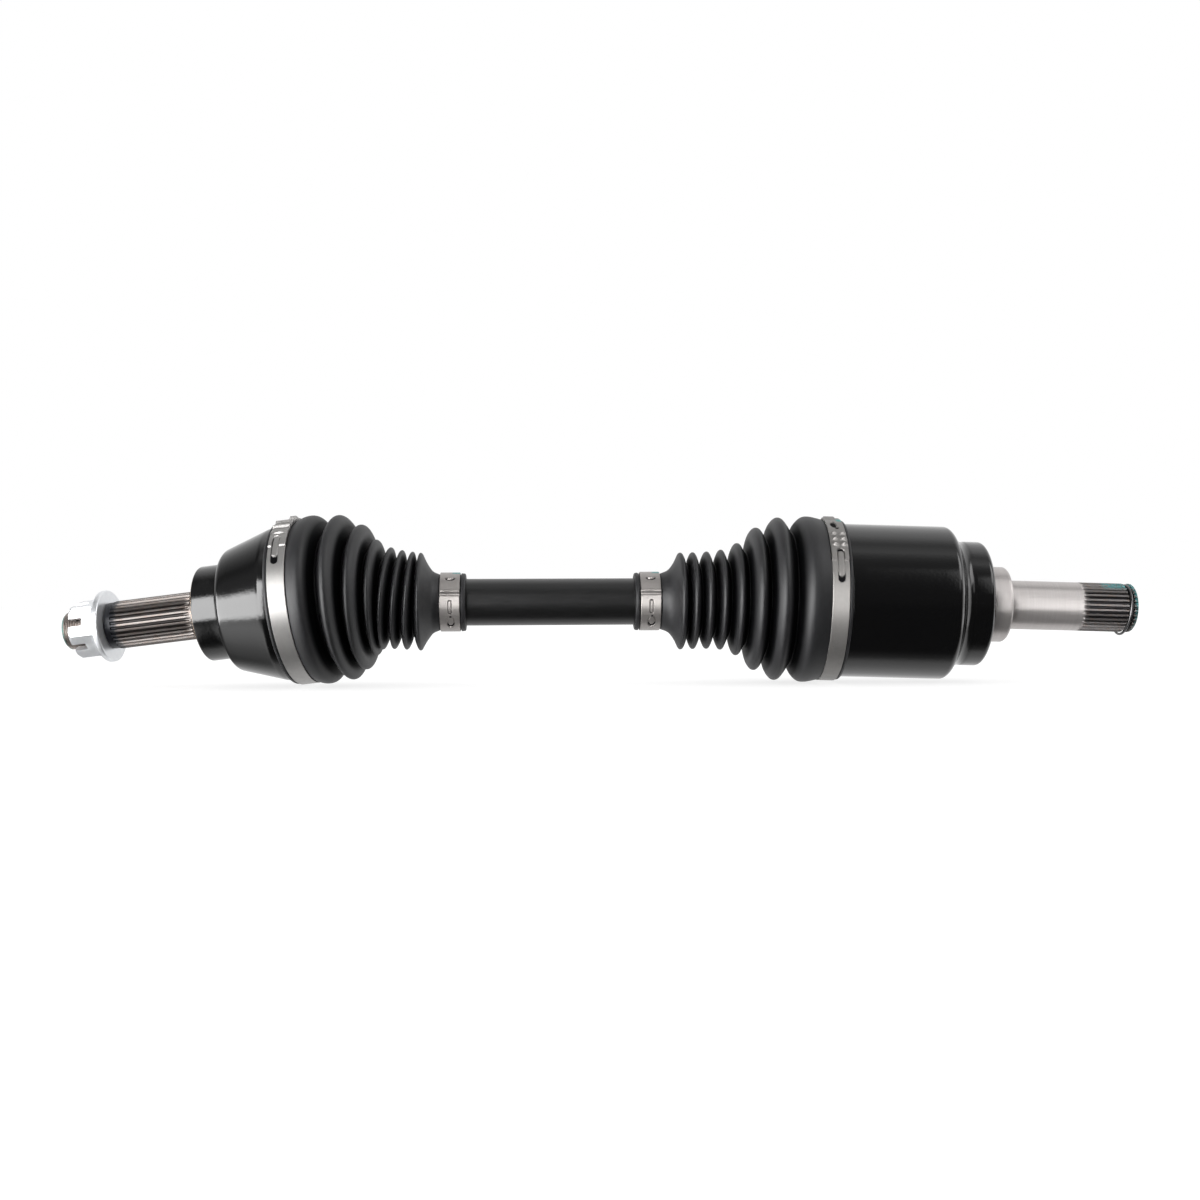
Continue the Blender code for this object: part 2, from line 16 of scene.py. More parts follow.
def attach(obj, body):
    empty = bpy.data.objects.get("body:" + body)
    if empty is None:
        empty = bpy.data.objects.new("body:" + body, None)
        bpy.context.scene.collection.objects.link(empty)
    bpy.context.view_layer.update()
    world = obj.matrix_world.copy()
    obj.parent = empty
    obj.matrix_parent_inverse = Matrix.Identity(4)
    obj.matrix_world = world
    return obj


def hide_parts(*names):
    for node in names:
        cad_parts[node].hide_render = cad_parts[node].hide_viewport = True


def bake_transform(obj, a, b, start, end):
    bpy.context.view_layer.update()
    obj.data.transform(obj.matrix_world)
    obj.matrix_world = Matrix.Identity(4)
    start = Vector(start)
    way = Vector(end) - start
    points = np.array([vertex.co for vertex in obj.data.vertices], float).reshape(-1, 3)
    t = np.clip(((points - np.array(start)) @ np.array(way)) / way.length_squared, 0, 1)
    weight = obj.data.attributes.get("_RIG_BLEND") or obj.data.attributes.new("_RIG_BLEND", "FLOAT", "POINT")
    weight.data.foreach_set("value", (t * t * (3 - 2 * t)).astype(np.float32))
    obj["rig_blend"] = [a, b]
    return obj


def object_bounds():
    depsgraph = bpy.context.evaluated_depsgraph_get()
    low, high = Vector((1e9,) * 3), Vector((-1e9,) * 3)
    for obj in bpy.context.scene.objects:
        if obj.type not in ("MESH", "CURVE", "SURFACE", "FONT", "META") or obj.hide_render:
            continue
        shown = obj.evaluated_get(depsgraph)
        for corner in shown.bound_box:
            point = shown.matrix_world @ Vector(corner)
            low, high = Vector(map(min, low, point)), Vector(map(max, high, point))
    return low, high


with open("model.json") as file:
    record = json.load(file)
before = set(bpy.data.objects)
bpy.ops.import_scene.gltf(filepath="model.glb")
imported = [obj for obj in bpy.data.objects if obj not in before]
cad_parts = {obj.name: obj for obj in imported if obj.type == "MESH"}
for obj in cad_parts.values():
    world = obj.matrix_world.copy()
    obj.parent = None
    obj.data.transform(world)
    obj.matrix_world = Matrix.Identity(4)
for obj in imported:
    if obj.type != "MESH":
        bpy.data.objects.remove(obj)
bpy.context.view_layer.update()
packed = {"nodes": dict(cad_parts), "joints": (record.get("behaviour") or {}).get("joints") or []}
JOINTS = {joint["name"]: joint for joint in packed["joints"]}
MM = 0.001

# ------------------------------------------------------------------ frames of the pieces


def frame_matrix(origin, x_axis, y_axis):
    x = np.array(x_axis, float)
    x /= np.linalg.norm(x)
    y = np.array(y_axis, float)
    y -= x * (x @ y)
    y /= np.linalg.norm(y)
    matrix = np.eye(4)
    matrix[:3, :] = np.stack([x, y, np.cross(x, y), origin], 1)
    return matrix


OUT_CENTRE = np.array(JOINTS["outboard_pitch_in"]["pos_m"], float)
IN_CENTRE = np.array(JOINTS["inboard_pitch_in"]["pos_m"], float)
OUT_BAR = frame_matrix(OUT_CENTRE, (1, 0, 0), (0, 1, 0))
IN_BAR = frame_matrix(IN_CENTRE, (1, 0, 0), (0, 1, 0))
BELL = frame_matrix(OUT_CENTRE, JOINTS["hub_nut_turn"]["axis"],
                    JOINTS["outboard_pitch_out"]["axis"])
HOUSING = frame_matrix(IN_CENTRE, JOINTS["plunge"]["axis"], JOINTS["inboard_pitch_out"]["axis"])
SPAN = (IN_CENTRE - OUT_CENTRE)[0] / MM       # between the joint centres, mm


def to_world(local, frame):
    """Points in mm in a piece's frame, as metres in the scene."""
    return (local * MM) @ frame[:3, :3].T + frame[:3, 3]


# ------------------------------------------------------------------ outlines and meshes


def smooth(start, end, x):
    """0 before start and 1 after end, eased between them."""
    t = np.clip((np.asarray(x, float) - start) / (end - start), 0, 1)
    return t * t * (3 - 2 * t)


def window(x, start, end, soft):
    """1 inside start..end and 0 outside, eased over soft on either side of each end."""
    rise = smooth(start - soft, start + soft, x)
    return rise * (1 - smooth(end - soft, end + soft, x))


def fillet(points, steps=5):
    """Rounds the corners of an outline of (x, r) or (x, r, cut distance) points, in mm."""
    points = [(*p, 0.0)[:3] for p in points]
    out = []
    for i, (x, r, cut) in enumerate(points):
        if cut <= 0 or i in (0, len(points) - 1):
            out.append((x, r))
            continue
        corner = np.array([x, r])
        back = np.array(points[i - 1][:2]) - corner
        ahead = np.array(points[i + 1][:2]) - corner
        back_len, ahead_len = np.linalg.norm(back), np.linalg.norm(ahead)
        first = corner + back / back_len * min(cut, back_len * 0.48)
        last = corner + ahead / ahead_len * min(cut, ahead_len * 0.48)
        for k in range(steps + 1):
            t = k / steps
            x, r = (1 - t) ** 2 * first + 2 * t * (1 - t) * corner + t * t * last
            out.append((float(x), float(r)))
    return out


def densify(profile, step):
    """Adds points so that no segment is longer than step mm."""
    out = [profile[0]]
    for (x0, r0), (x1, r1) in zip(profile, profile[1:]):
        parts = max(1, int(math.ceil(math.hypot(x1 - x0, r1 - r0) / step)))
        for i in range(1, parts + 1):
            out.append((x0 + (x1 - x0) * i / parts, r0 + (r1 - r0) * i / parts))
    return out


def volume(points, faces):
    """Signed volume; negative when the surface is inside out."""
    total = 0.0
    for size in {len(face) for face in faces}:
        group = np.array([face for face in faces if len(face) == size])
        for i in range(1, size - 1):
            normals = np.cross(points[group[:, i]], points[group[:, i + 1]])
            total += np.einsum("ij,ij->", points[group[:, 0]], normals)
    return total / 6


def link_object(name, mesh):
    obj = bpy.data.objects.new(name, mesh)
    bpy.context.scene.collection.objects.link(obj)
    return obj


def make_mesh(name, points, faces, sharp, attributes=None):
    """An object from points in metres, faces turned outward, split at sharp degrees."""
    if volume(points, faces) < 0:
        faces = [face[::-1] for face in faces]
    mesh = bpy.data.meshes.new(name)
    mesh.from_pydata([tuple(p) for p in points], [], faces)
    mesh.update()
    for key, values in (attributes or {}).items():
        values = np.asarray(values, np.float32)
        kind, field = ("FLOAT_VECTOR", "vector") if values.ndim == 2 else ("FLOAT", "value")
        mesh.attributes.new(key, kind, "POINT").data.foreach_set(field, values.ravel())
    mesh.shade_smooth()
    if sharp:
        mesh.set_sharp_from_angle(angle=math.radians(sharp))
    return link_object(name, mesh)


def ring_faces(first, second, count):
    """Quads between two rings of count points that start at the given indices."""
    faces = []
    for j in range(count):
        k = (j + 1) % count
        faces.append((first + j, first + k, second + k, second + j))
    return faces


def revolve(name, profile, thetas, frame, radius, closed=False, sharp=38, **fields):
    """Turns (x, r) points in mm about the frame's X axis; a radius of 0 makes a pole.

    Theta is in degrees from the top towards -Y.  radius(x, r, theta, row) gives a row's radii,
    and each field, called alike, gives the values of the attribute of its name."""
    angles = np.radians(np.asarray(thetas, float))
    theta = np.degrees(angles)
    count = len(angles)
    rings, starts, total = [], [], 0
    values = {key: [] for key in fields}
    for row, (x, r) in enumerate(profile):
        pole = r < 1e-6
        starts.append((total, pole))
        if pole:
            rings.append(np.array([[x, 0.0, 0.0]]))
        else:
            radii = radius(x, r, theta, row) * np.ones(count)
            rings.append(np.stack([np.full(count, float(x)), -radii * np.sin(angles),
                                   radii * np.cos(angles)], 1))
        total += len(rings[-1])
        for key, field in fields.items():
            values[key].append(np.zeros(1) if pole
                               else field(x, r, theta, row) * np.ones(count))
    pairs = list(zip(starts, starts[1:]))
    if closed:
        pairs.append((starts[-1], starts[0]))
    faces = []
    for (first, first_pole), (second, second_pole) in pairs:
        quads = ring_faces(first, second, count)
        if first_pole:
            quads = [(first, *quad[2:]) for quad in quads]
        elif second_pole:
            quads = [(*quad[:2], second) for quad in quads]
        faces += quads
    local = np.concatenate(rings)
    attributes = {"lp": local}
    for key, parts in values.items():
        attributes[key] = np.concatenate(parts)
    return make_mesh(name, to_world(local, frame), faces, sharp, attributes)


def circle(count):
    return [360.0 * i / count for i in range(count)]


def tooth_angles(teeth, phase=0.0):
    """Angles that fall on every tooth's corners; phase is the middle of a tooth."""
    marks = (-0.20, -0.17, -0.06, 0.06, 0.17, 0.20, 0.33, 0.37, 0.45, 0.55, 0.63, 0.67)
    return sorted((phase + (t + s) * 360.0 / teeth) % 360.0 for t in range(teeth) for s in marks)


def tooth_depth(theta, teeth, phase=0.0):
    """0 on a tooth's tip and 1 in its root, with sloped flanks and rounded corners."""
    pitch = ((theta - phase) * teeth / 360.0 + 0.5) % 1.0 - 0.5
    return np.interp(np.abs(pitch), [0.0, 0.17, 0.20, 0.33, 0.37, 0.5],
                     [0.0, 0.03, 0.10, 0.90, 0.985, 1.0])


def spline_radius(depth, tip, root, run):
    """Radius at a tooth depth; run goes 0 to 1 along the curved start of the spline."""
    return tip - (tip - root) * math.sqrt(max(0.0, 1 - (1 - run) ** 2)) * depth


def bake(obj, sharp):
    """Applies the object's modifiers to its mesh."""
    bpy.context.view_layer.update()
    graph = bpy.context.evaluated_depsgraph_get()
    mesh = bpy.data.meshes.new_from_object(obj.evaluated_get(graph))
    obj.modifiers.clear()
    obj.data = mesh
    mesh.shade_smooth()
    mesh.set_sharp_from_angle(angle=math.radians(sharp))


def give(obj, look, body, replaces):
    """Material, moving body and replaced CAD piece of an object."""
    obj.data.materials.append(look)
    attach(obj, body)
    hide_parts(*replaces)


# ------------------------------------------------------------------ shader node helper


class Nodes:
    """Builds the shader nodes of a material or world."""

    INPUTS = {"color": "Base Color", "metal": "Metallic", "rough": "Roughness",
              "spec": "Specular IOR Level", "normal": "Normal"}

    def __init__(self, owner):
        owner.use_nodes = True
        self.owner = owner
        self.tree = owner.node_tree

    def node(self, kind, **props):
        node = self.tree.nodes.new(kind)
        for key, value in props.items():
            setattr(node, key, value)
        return node

    def put(self, socket, value):
        """Links a socket or sets a value; colours are given without alpha."""
        if isinstance(value, bpy.types.NodeSocket):
            self.tree.links.new(value, socket)
        else:
            socket.default_value = (*value, 1) if socket.type == "RGBA" else value

    def attribute(self, name, output="Fac"):
        node = self.node("ShaderNodeAttribute")
        node.attribute_name = name
        return node.outputs[output]

    def object_mm(self):
        coords = self.node("ShaderNodeTexCoord")
        return self.scaled(coords.outputs["Object"], (1000.0, 1000.0, 1000.0))

    def split(self, vector):
        node = self.node("ShaderNodeSeparateXYZ")
        self.put(node.inputs[0], vector)
        return node.outputs

    def math(self, operation, *values, clamp=False):
        node = self.node("ShaderNodeMath", operation=operation, use_clamp=clamp)
        for socket, value in zip(node.inputs, values):
            self.put(socket, value)
        return node.outputs[0]

    def times(self, first, second):
        return self.math("MULTIPLY", first, second)

    def gain(self, value, by, plus):
        return self.math("MULTIPLY_ADD", value, by, plus)

    def rise(self, value, start, end, low=0.0, high=1.0):
        """Eases from low at start to high at end."""
        node = self.node("ShaderNodeMapRange", interpolation_type="SMOOTHSTEP", clamp=True)
        for socket, number in zip(node.inputs, (value, start, end, low, high)):
            self.put(socket, number)
        return node.outputs[0]

    def fall(self, value, start, end):
        return self.rise(value, start, end, low=1.0, high=0.0)

    def band(self, value, start, end, soft):
        return self.times(self.rise(value, start - soft, start + soft),
                          self.fall(value, end - soft, end + soft))

    def mix(self, factor, low, high):
        """Colour low at factor 0 and high at factor 1."""
        node = self.node("ShaderNodeMix", data_type="RGBA")
        for index, value in ((0, factor), (6, low), (7, high)):
            self.put(node.inputs[index], value)
        return node.outputs[2]

    def mix_value(self, factor, low, high):
        node = self.node("ShaderNodeMix", data_type="FLOAT")
        for index, value in ((0, factor), (2, low), (3, high)):
            self.put(node.inputs[index], value)
        return node.outputs[0]

    def scaled(self, vector, scale):
        node = self.node("ShaderNodeVectorMath", operation="MULTIPLY")
        self.put(node.inputs[0], vector)
        node.inputs[1].default_value = scale
        return node.outputs[0]

    def noise(self, vector, scale, detail=3.0, rough=0.55):
        node = self.node("ShaderNodeTexNoise")
        for key, value in (("Vector", vector), ("Scale", scale), ("Detail", detail),
                           ("Roughness", rough)):
            self.put(node.inputs[key], value)
        return node.outputs["Fac"]

    def streaks(self, vector, scale, detail, rough=0.6):
        """Noise with its own scale along each axis; a low scale draws it out."""
        return self.noise(self.scaled(vector, scale), 1.0, detail, rough)

    def bump(self, height, strength, distance, normal=None):
        node = self.node("ShaderNodeBump")
        for key, value in (("Strength", strength), ("Distance", distance), ("Height", height)):
            self.put(node.inputs[key], value)
        if normal is not None:
            self.put(node.inputs["Normal"], normal)
        return node.outputs[0]

    def spread(self, frame, amount):
        """Turned or rolled metal: the highlight spreads along the piece's axis."""
        bsdf = self.tree.nodes["Principled BSDF"]
        node = self.node("ShaderNodeVectorTransform", vector_type="VECTOR",
                         convert_from="OBJECT", convert_to="WORLD")
        node.inputs[0].default_value = tuple(frame[:3, 0])
        self.put(bsdf.inputs["Tangent"], node.outputs[0])
        self.put(bsdf.inputs["Anisotropic"], amount)

    def finish(self, **values):
        """Sets the inputs of the surface shader and returns the material."""
        bsdf = self.tree.nodes["Principled BSDF"]
        for key, value in values.items():
            self.put(bsdf.inputs[self.INPUTS[key]], value)
        return self.owner


def new_look(name):
    return Nodes(bpy.data.materials.new(name))


# ------------------------------------------------------------------ materials


def black_paint():
    """Gloss black over steel: orange peel, faint machining rings, dust."""
    look = new_look("black_paint_look")
    pos = look.attribute("lp", "Vector")
    x = look.split(pos)[0]
    peel = look.noise(pos, scale=0.55, detail=2.0, rough=0.5)
    fine = look.noise(pos, scale=2.6, detail=2.0, rough=0.6)
    rings = look.streaks(pos, scale=(5.0, 0.02, 0.02), detail=2.0)
    normal = look.bump(look.gain(fine, by=0.16, plus=peel), strength=0.22, distance=0.00016)
    normal = look.bump(rings, strength=0.05, distance=0.00006, normal=normal)
    dust = look.rise(look.noise(pos, scale=0.9, detail=6.0, rough=0.75), start=0.62, end=0.8)
    tone = look.mix(dust, low=(0.0022, 0.0022, 0.0025), high=(0.0080, 0.0078, 0.0076))
    cloud = look.noise(pos, scale=0.12, detail=4.0, rough=0.6)
    rough = look.gain(cloud, by=0.08, plus=0.085)
    rough = look.gain(dust, by=0.12, plus=rough)
    return look, pos, x, tone, rough, normal


def bell_material():
    look, pos, x, tone, paint_rough, normal = black_paint()
    _, y, z = look.split(pos)
    r = look.math("SQRT", look.gain(z, by=z, plus=look.times(y, y)))
    # bare metal: the stub beyond the hub face, and a thin bronze line at the hub's edge
    edge = look.times(look.fall(x, start=-50.75, end=-50.45), look.rise(r, start=25.9, end=26.3))
    face = look.times(look.fall(x, start=-50.8, end=-50.6), look.fall(r, start=25.7, end=26.1))
    streak = look.streaks(pos, scale=(0.06, 1.4, 1.4), detail=4.0)
    grime = look.rise(look.noise(pos, scale=0.28, detail=5.0, rough=0.65), start=0.40, end=0.66)
    steel = look.mix(streak, low=(0.085, 0.078, 0.074), high=(0.24, 0.222, 0.212))
    steel = look.mix(look.times(grime, 0.40), steel, high=(0.15, 0.105, 0.08))
    # painted shade: the spline's roots go near black by their depth
    depth = look.attribute("depth")
    steel = look.mix(look.times(depth, 0.92), steel, high=(0.008, 0.007, 0.007))
    # the end of the spline, next to the nut, is darker and less metallic
    ragged = look.gain(look.noise(pos, scale=0.9, rough=0.6), by=5.0, plus=x)
    dark = look.fall(ragged, start=-100.6, end=-97.6)
    steel = look.mix(dark, steel, high=(0.010, 0.011, 0.016))
    collar = look.times(look.rise(x, start=-56.0, end=-54.6),
                        look.fall(x, start=-50.9, end=-50.7))
    steel = look.mix(look.times(collar, 0.75), steel, high=(0.26, 0.225, 0.20))
    bronze = look.mix(look.noise(pos, scale=1.5), low=(0.50, 0.36, 0.25), high=(0.62, 0.50, 0.40))
    color = look.mix(edge, look.mix(face, tone, steel), bronze)
    bare = look.math("MAXIMUM", face, edge)
    metal = look.times(bare, look.gain(dark, by=-0.7, plus=0.88))
    look.spread(BELL, amount=look.times(bare, 0.75))
    rough = look.mix_value(bare, paint_rough, look.gain(streak, by=0.2, plus=0.32))
    return look.finish(color=color, metal=metal, rough=rough, normal=normal, spec=0.5)


def housing_material():
    look, pos, x, tone, paint_rough, normal = black_paint()
    z = look.split(pos)[2]
    bare = look.rise(x, start=76.9, end=77.2)
    turned = look.streaks(pos, scale=(9.0, 0.05, 0.05), detail=3.0, rough=0.7)
    broad = look.streaks(pos, scale=(0.9, 0.03, 0.03), detail=2.0)
    steel = look.mix(turned, low=(0.42, 0.395, 0.385), high=(0.66, 0.63, 0.62))
    steel = look.mix(look.times(broad, 0.35), steel, high=(0.33, 0.30, 0.29))
    # the spline: darker steel, streaked along its teeth, with rusty patches, and painted shade that blackens
    # its roots
    spline = look.rise(x, start=134.5, end=136.5)
    streak = look.streaks(pos, scale=(0.08, 1.6, 1.6), detail=4.0, rough=0.65)
    rust = look.rise(look.noise(pos, scale=0.5, detail=4.0), start=0.48, end=0.64)
    dark = look.mix(streak, low=(0.07, 0.066, 0.066), high=(0.28, 0.265, 0.26))
    dark = look.mix(look.times(rust, 0.35), dark, high=(0.20, 0.135, 0.095))
    # painted shade: the roots and the snap ring groove go near black by their depth
    depth = look.attribute("depth")
    dark = look.mix(look.times(depth, 0.92), dark, high=(0.008, 0.008, 0.010))
    steel = look.mix(spline, steel, dark)
    # teal marking paint over the top of the spline and over the end face
    top = look.times(look.rise(z, start=10.2, end=12.2), look.rise(x, start=146.0, end=150.0))
    top = look.times(top, look.rise(look.noise(pos, scale=0.7), start=0.38, end=0.5))
    end = look.times(look.rise(x, start=164.6, end=165.8),
                     look.rise(look.noise(pos, scale=0.45, detail=2.0), start=0.30, end=0.48))
    end = look.times(end, look.rise(z, start=-14.0, end=8.0, low=0.25))
    teal = look.times(look.math("MAXIMUM", top, end), 0.85)
    steel = look.mix(teal, steel, high=(0.045, 0.23, 0.24))
    color = look.mix(bare, tone, steel)
    metal = look.times(bare, look.gain(teal, by=-0.7, plus=0.84))
    look.spread(HOUSING, amount=look.times(bare, 0.88))
    steel_rough = look.gain(turned, by=0.10, plus=look.gain(spline, by=0.04, plus=0.37))
    rough = look.mix_value(bare, paint_rough, steel_rough)
    marks = look.bump(turned, strength=0.10, distance=0.00004, normal=normal)
    return look.finish(color=color, metal=metal, rough=rough, normal=marks)


def bar_material():
    look = new_look("bar_paint_look")
    pos = look.attribute("lp", "Vector")
    speck = look.noise(pos, scale=1.9, rough=0.65)
    roll = look.streaks(pos, scale=(0.10, 0.55, 0.55), detail=3.0)
    tone = look.mix(look.rise(speck, start=0.6, end=0.8),
                    low=(0.0060, 0.0060, 0.0063), high=(0.016, 0.016, 0.016))
    normal = look.bump(look.gain(speck, by=0.5, plus=roll), strength=0.16, distance=0.00012)
    return look.finish(color=tone, rough=look.gain(roll, by=0.16, plus=0.27), normal=normal)


def boot_material():
    """Moulded thermoplastic: fine grain, flow marks round the body and a little bloom."""
    look = new_look("boot_rubber_look")
    pos = look.attribute("lp", "Vector")
    grain = look.noise(pos, scale=6.5, rough=0.7)
    flow = look.streaks(pos, scale=(0.55, 0.16, 0.16), detail=4.0)
    rings = look.streaks(pos, scale=(3.2, 0.03, 0.03), detail=2.0, rough=0.55)
    # painted shade: the valleys of the folds go near black, and reflect less, by their depth
    depth = look.attribute("depth")
    tone = look.mix(look.rise(flow, start=0.35, end=0.7),
                    low=(0.0090, 0.0090, 0.0102), high=(0.0130, 0.0130, 0.0145))
    tone = look.mix(look.times(depth, 0.9), tone, high=(0.0015, 0.0015, 0.0018))
    spots = look.rise(look.noise(pos, scale=1.3, detail=5.0, rough=0.8), start=0.68, end=0.8)
    tone = look.mix(look.times(spots, 0.22), tone, high=(0.035, 0.035, 0.037))
    normal = look.bump(grain, strength=0.20, distance=0.00005)
    normal = look.bump(rings, strength=0.10, distance=0.00012, normal=normal)
    return look.finish(color=tone, rough=look.gain(flow, by=0.12, plus=0.46), normal=normal,
                       spec=look.gain(depth, by=-0.38, plus=0.44))


def strap_material(name, base, base_rough, frame):
    """Rolled strip: streaks along the strap, dull smears, painted shade in pressed recesses, holes and slot
    gaps, teal paint.
    """
    look = new_look(name)
    pos = look.attribute("lp", "Vector")
    streak = look.streaks(pos, scale=(7.0, 0.10, 0.10), detail=3.0, rough=0.65)
    smear = look.noise(pos, scale=0.35, detail=4.0, rough=0.6)
    pits = look.rise(look.noise(pos, scale=1.1, detail=2.0, rough=0.5), start=0.70, end=0.76)
    color = look.mix(streak, tuple(b * 0.82 for b in base), base)
    color = look.mix(look.times(smear, 0.35), color, tuple(b * 0.66 for b in base))
    color = look.mix(look.times(pits, 0.5), color, high=(0.16, 0.15, 0.145))
    teal = look.attribute("teal")
    color = look.mix(teal, color, high=(0.035, 0.25, 0.24))
    # painted shade: the dark attribute blackens recesses, holes and slot gaps, and takes their metal and
    # reflection away
    dark = look.attribute("dark")
    color = look.mix(dark, color, high=(0.008, 0.008, 0.009))
    shade_and_teal = look.math("MAXIMUM", dark, teal)
    metal = look.times(look.math("SUBTRACT", 1.0, shade_and_teal, clamp=True), 0.80)
    look.spread(frame, amount=0.80)
    normal = look.bump(streak, strength=0.12, distance=0.00004)
    normal = look.bump(smear, strength=0.06, distance=0.0002, normal=normal)
    return look.finish(color=color, metal=metal, rough=look.gain(smear, by=0.16, plus=base_rough),
                       normal=normal, spec=look.gain(dark, by=-0.48, plus=0.5))


def zinc_material():
    look = new_look("zinc_look")
    pos = look.object_mm()
    cloud = look.noise(pos, scale=0.35, detail=5.0, rough=0.6)
    fine = look.noise(pos, scale=3.4, rough=0.6)
    color = look.mix(cloud, low=(0.70, 0.72, 0.75), high=(0.86, 0.87, 0.88))
    color = look.mix(look.rise(fine, start=0.62, end=0.75), color, high=(0.56, 0.57, 0.60))
    return look.finish(color=color, metal=0.72, rough=look.gain(cloud, by=0.16, plus=0.24),
                       normal=look.bump(fine, strength=0.10, distance=0.00004))


def thread_material():
    """Bright steel with teal paint on the end of the stub."""
    look = new_look("stub_thread_look")
    pos = look.attribute("lp", "Vector")
    streak = look.streaks(pos, scale=(1.0, 0.5, 0.5), detail=4.0)
    color = look.mix(streak, low=(0.22, 0.19, 0.175), high=(0.50, 0.45, 0.42))
    rim = look.fall(look.split(pos)[0], start=-134.2, end=-133.2)
    patch = look.rise(look.noise(pos, scale=0.35, detail=2.0), start=0.36, end=0.50)
    teal = look.times(rim, look.gain(patch, by=0.75, plus=0.22))
    color = look.mix(teal, color, high=(0.035, 0.20, 0.175))
    return look.finish(color=color, metal=look.gain(teal, by=-0.75, plus=0.88),
                       rough=look.gain(streak, by=0.15, plus=0.25),
                       normal=look.bump(streak, strength=0.1, distance=0.00004))


def ground_steel(name, base, base_rough):
    look = new_look(name)
    pos = look.object_mm()
    cloud = look.noise(pos, scale=0.4, detail=4.0, rough=0.6)
    fine = look.noise(pos, scale=4.0, detail=2.0, rough=0.6)
    return look.finish(color=look.mix(cloud, tuple(b * 0.8 for b in base), base), metal=1.0,
                       rough=look.gain(cloud, by=0.14, plus=base_rough),
                       normal=look.bump(fine, strength=0.06, distance=0.00003))


def wire_material():
    look = new_look("snap_ring_look")
    pos = look.object_mm()
    cloud = look.noise(pos, scale=0.8, detail=4.0, rough=0.6)
    color = look.mix(cloud, low=(0.055, 0.055, 0.06), high=(0.16, 0.155, 0.155))
    normal = look.bump(look.noise(pos, scale=3.0), strength=0.08, distance=0.00003)
    return look.finish(color=color, metal=1.0, rough=look.gain(cloud, by=0.2, plus=0.18),
                       normal=normal)


# ------------------------------------------------------------------ outboard bell, with stub
BELL_TEETH, BELL_PHASE = 28, 2.0              # phase in degrees
BELL_TIP, BELL_ROOT = 13.9, 12.55
CAVITY_R = 32.2
OUT_PITCH_R, OUT_TRACK_R = 29.0, 11.3         # the ball tracks' pitch and cross section


def from_track(theta):
    """Angle, in radians, from the nearest of six ball tracks 60 degrees apart."""
    return np.radians((theta + 30.0) % 60.0 - 30.0)


def bell_cavity(x, theta):
    """Radius of the ball cavity at x: a sphere, with six concentric tracks cut into it."""
    away = from_track(theta)
    track = np.zeros(len(theta))
    hit = np.zeros(len(theta), bool)
    for r in np.arange(41.5, 8.0, -0.05):     # inward, to the first point inside a track
        from_pitch = np.sqrt(x * x + (r * np.cos(away)) ** 2) - OUT_PITCH_R
        new = ~hit & (from_pitch ** 2 + (r * np.sin(away)) ** 2 - OUT_TRACK_R ** 2 < 0)
        track[new] = r
        hit |= new
    return np.maximum(math.sqrt(CAVITY_R ** 2 - x * x), track)


# (x, least radius) of the cavity and its mouth
bell_profile = [(-CAVITY_R, 0.0)]
bell_profile += [(x, 1.0) for x in (-32.0, -31.0, -29.0, -26.5, -23.5, -20.5, -17.5, -14.0,
                                    -10.0, -6.0, -2.0, 2.0, 5.0)]
bell_profile.append((8.5, 36.0))
cavity_end = len(bell_profile)
bell_profile.append((13.4, 41.4))
# (x, r, corner cut) of the outside, from the mouth to the start of the spline
bell_profile += densify(fillet([
    (13.5, 41.6), (13.5, 42.9, 0.6), (-2.3, 42.9), (-2.3, 44.05, 0.35), (-6.4, 44.2, 1.3),
    (-33.6, 35.15, 2.4), (-35.75, 30.8, 1.6), (-35.9, 27.55, 0.7), (-50.35, 27.55, 0.55),
    (-50.95, 26.9, 0.3), (-50.95, 15.4, 1.0), (-53.4, 14.0, 1.4), (-55.6, 13.9)]), 6.0)
bell_teeth_start = len(bell_profile)
bell_profile += [(x, BELL_TIP) for x in (-56.9, -57.2, -57.6, -58.1, -58.8, -59.6, -61.0,
                                         -70, -80, -90, -100, -104.4)]
bell_teeth_end = len(bell_profile)
bell_profile += fillet([(-104.7, 13.45), (-108.3, 13.45, 0.4), (-108.6, 12.9), (-108.6, 10.0)], 3)
bell_profile.append((-108.6, 0.0))


def bell_run(x):
    return np.clip((-57.0 - x) / 4.0, 0, 1)


def bell_radius(x, r, theta, row):
    if 0 < row < cavity_end:
        return np.maximum(bell_cavity(x, theta), r)
    if bell_teeth_start <= row < bell_teeth_end:
        depth = tooth_depth(theta, BELL_TEETH, BELL_PHASE)
        return spline_radius(depth, BELL_TIP, BELL_ROOT, bell_run(x))
    return r


# Depth of the spline's tooth roots, which the look uses to paint shade into them
def bell_depth(x, r, theta, row):
    if bell_teeth_start <= row < bell_teeth_end:
        return tooth_depth(theta, BELL_TEETH, BELL_PHASE) * bell_run(x)
    return 0.0


bell = revolve("outboard_bell_body", bell_profile, tooth_angles(BELL_TEETH, BELL_PHASE), BELL,
               bell_radius, depth=bell_depth)
give(bell, bell_material(), "bell", ["outboard_bell"])

# ------------------------------------------------------------------ wheel stub thread
THREAD_PITCH, THREAD_R, THREAD_CUT = 1.5, 11.0, 0.88
thread_profile = [(-108.0, 0.0), (-108.0, 9.9)]
thread_start = len(thread_profile)
thread_profile += [(float(x), THREAD_R) for x in np.arange(-109.0, -134.0, -THREAD_PITCH / 8)]
thread_end = len(thread_profile)
thread_profile += fillet([(-134.1, 10.6), (-135.1, 9.9, 0.3), (-135.1, 8.8), (-134.9, 3.4, 0.4),
                          (-132.6, 1.2)], 3)
thread_profile.append((-132.0, 0.0))


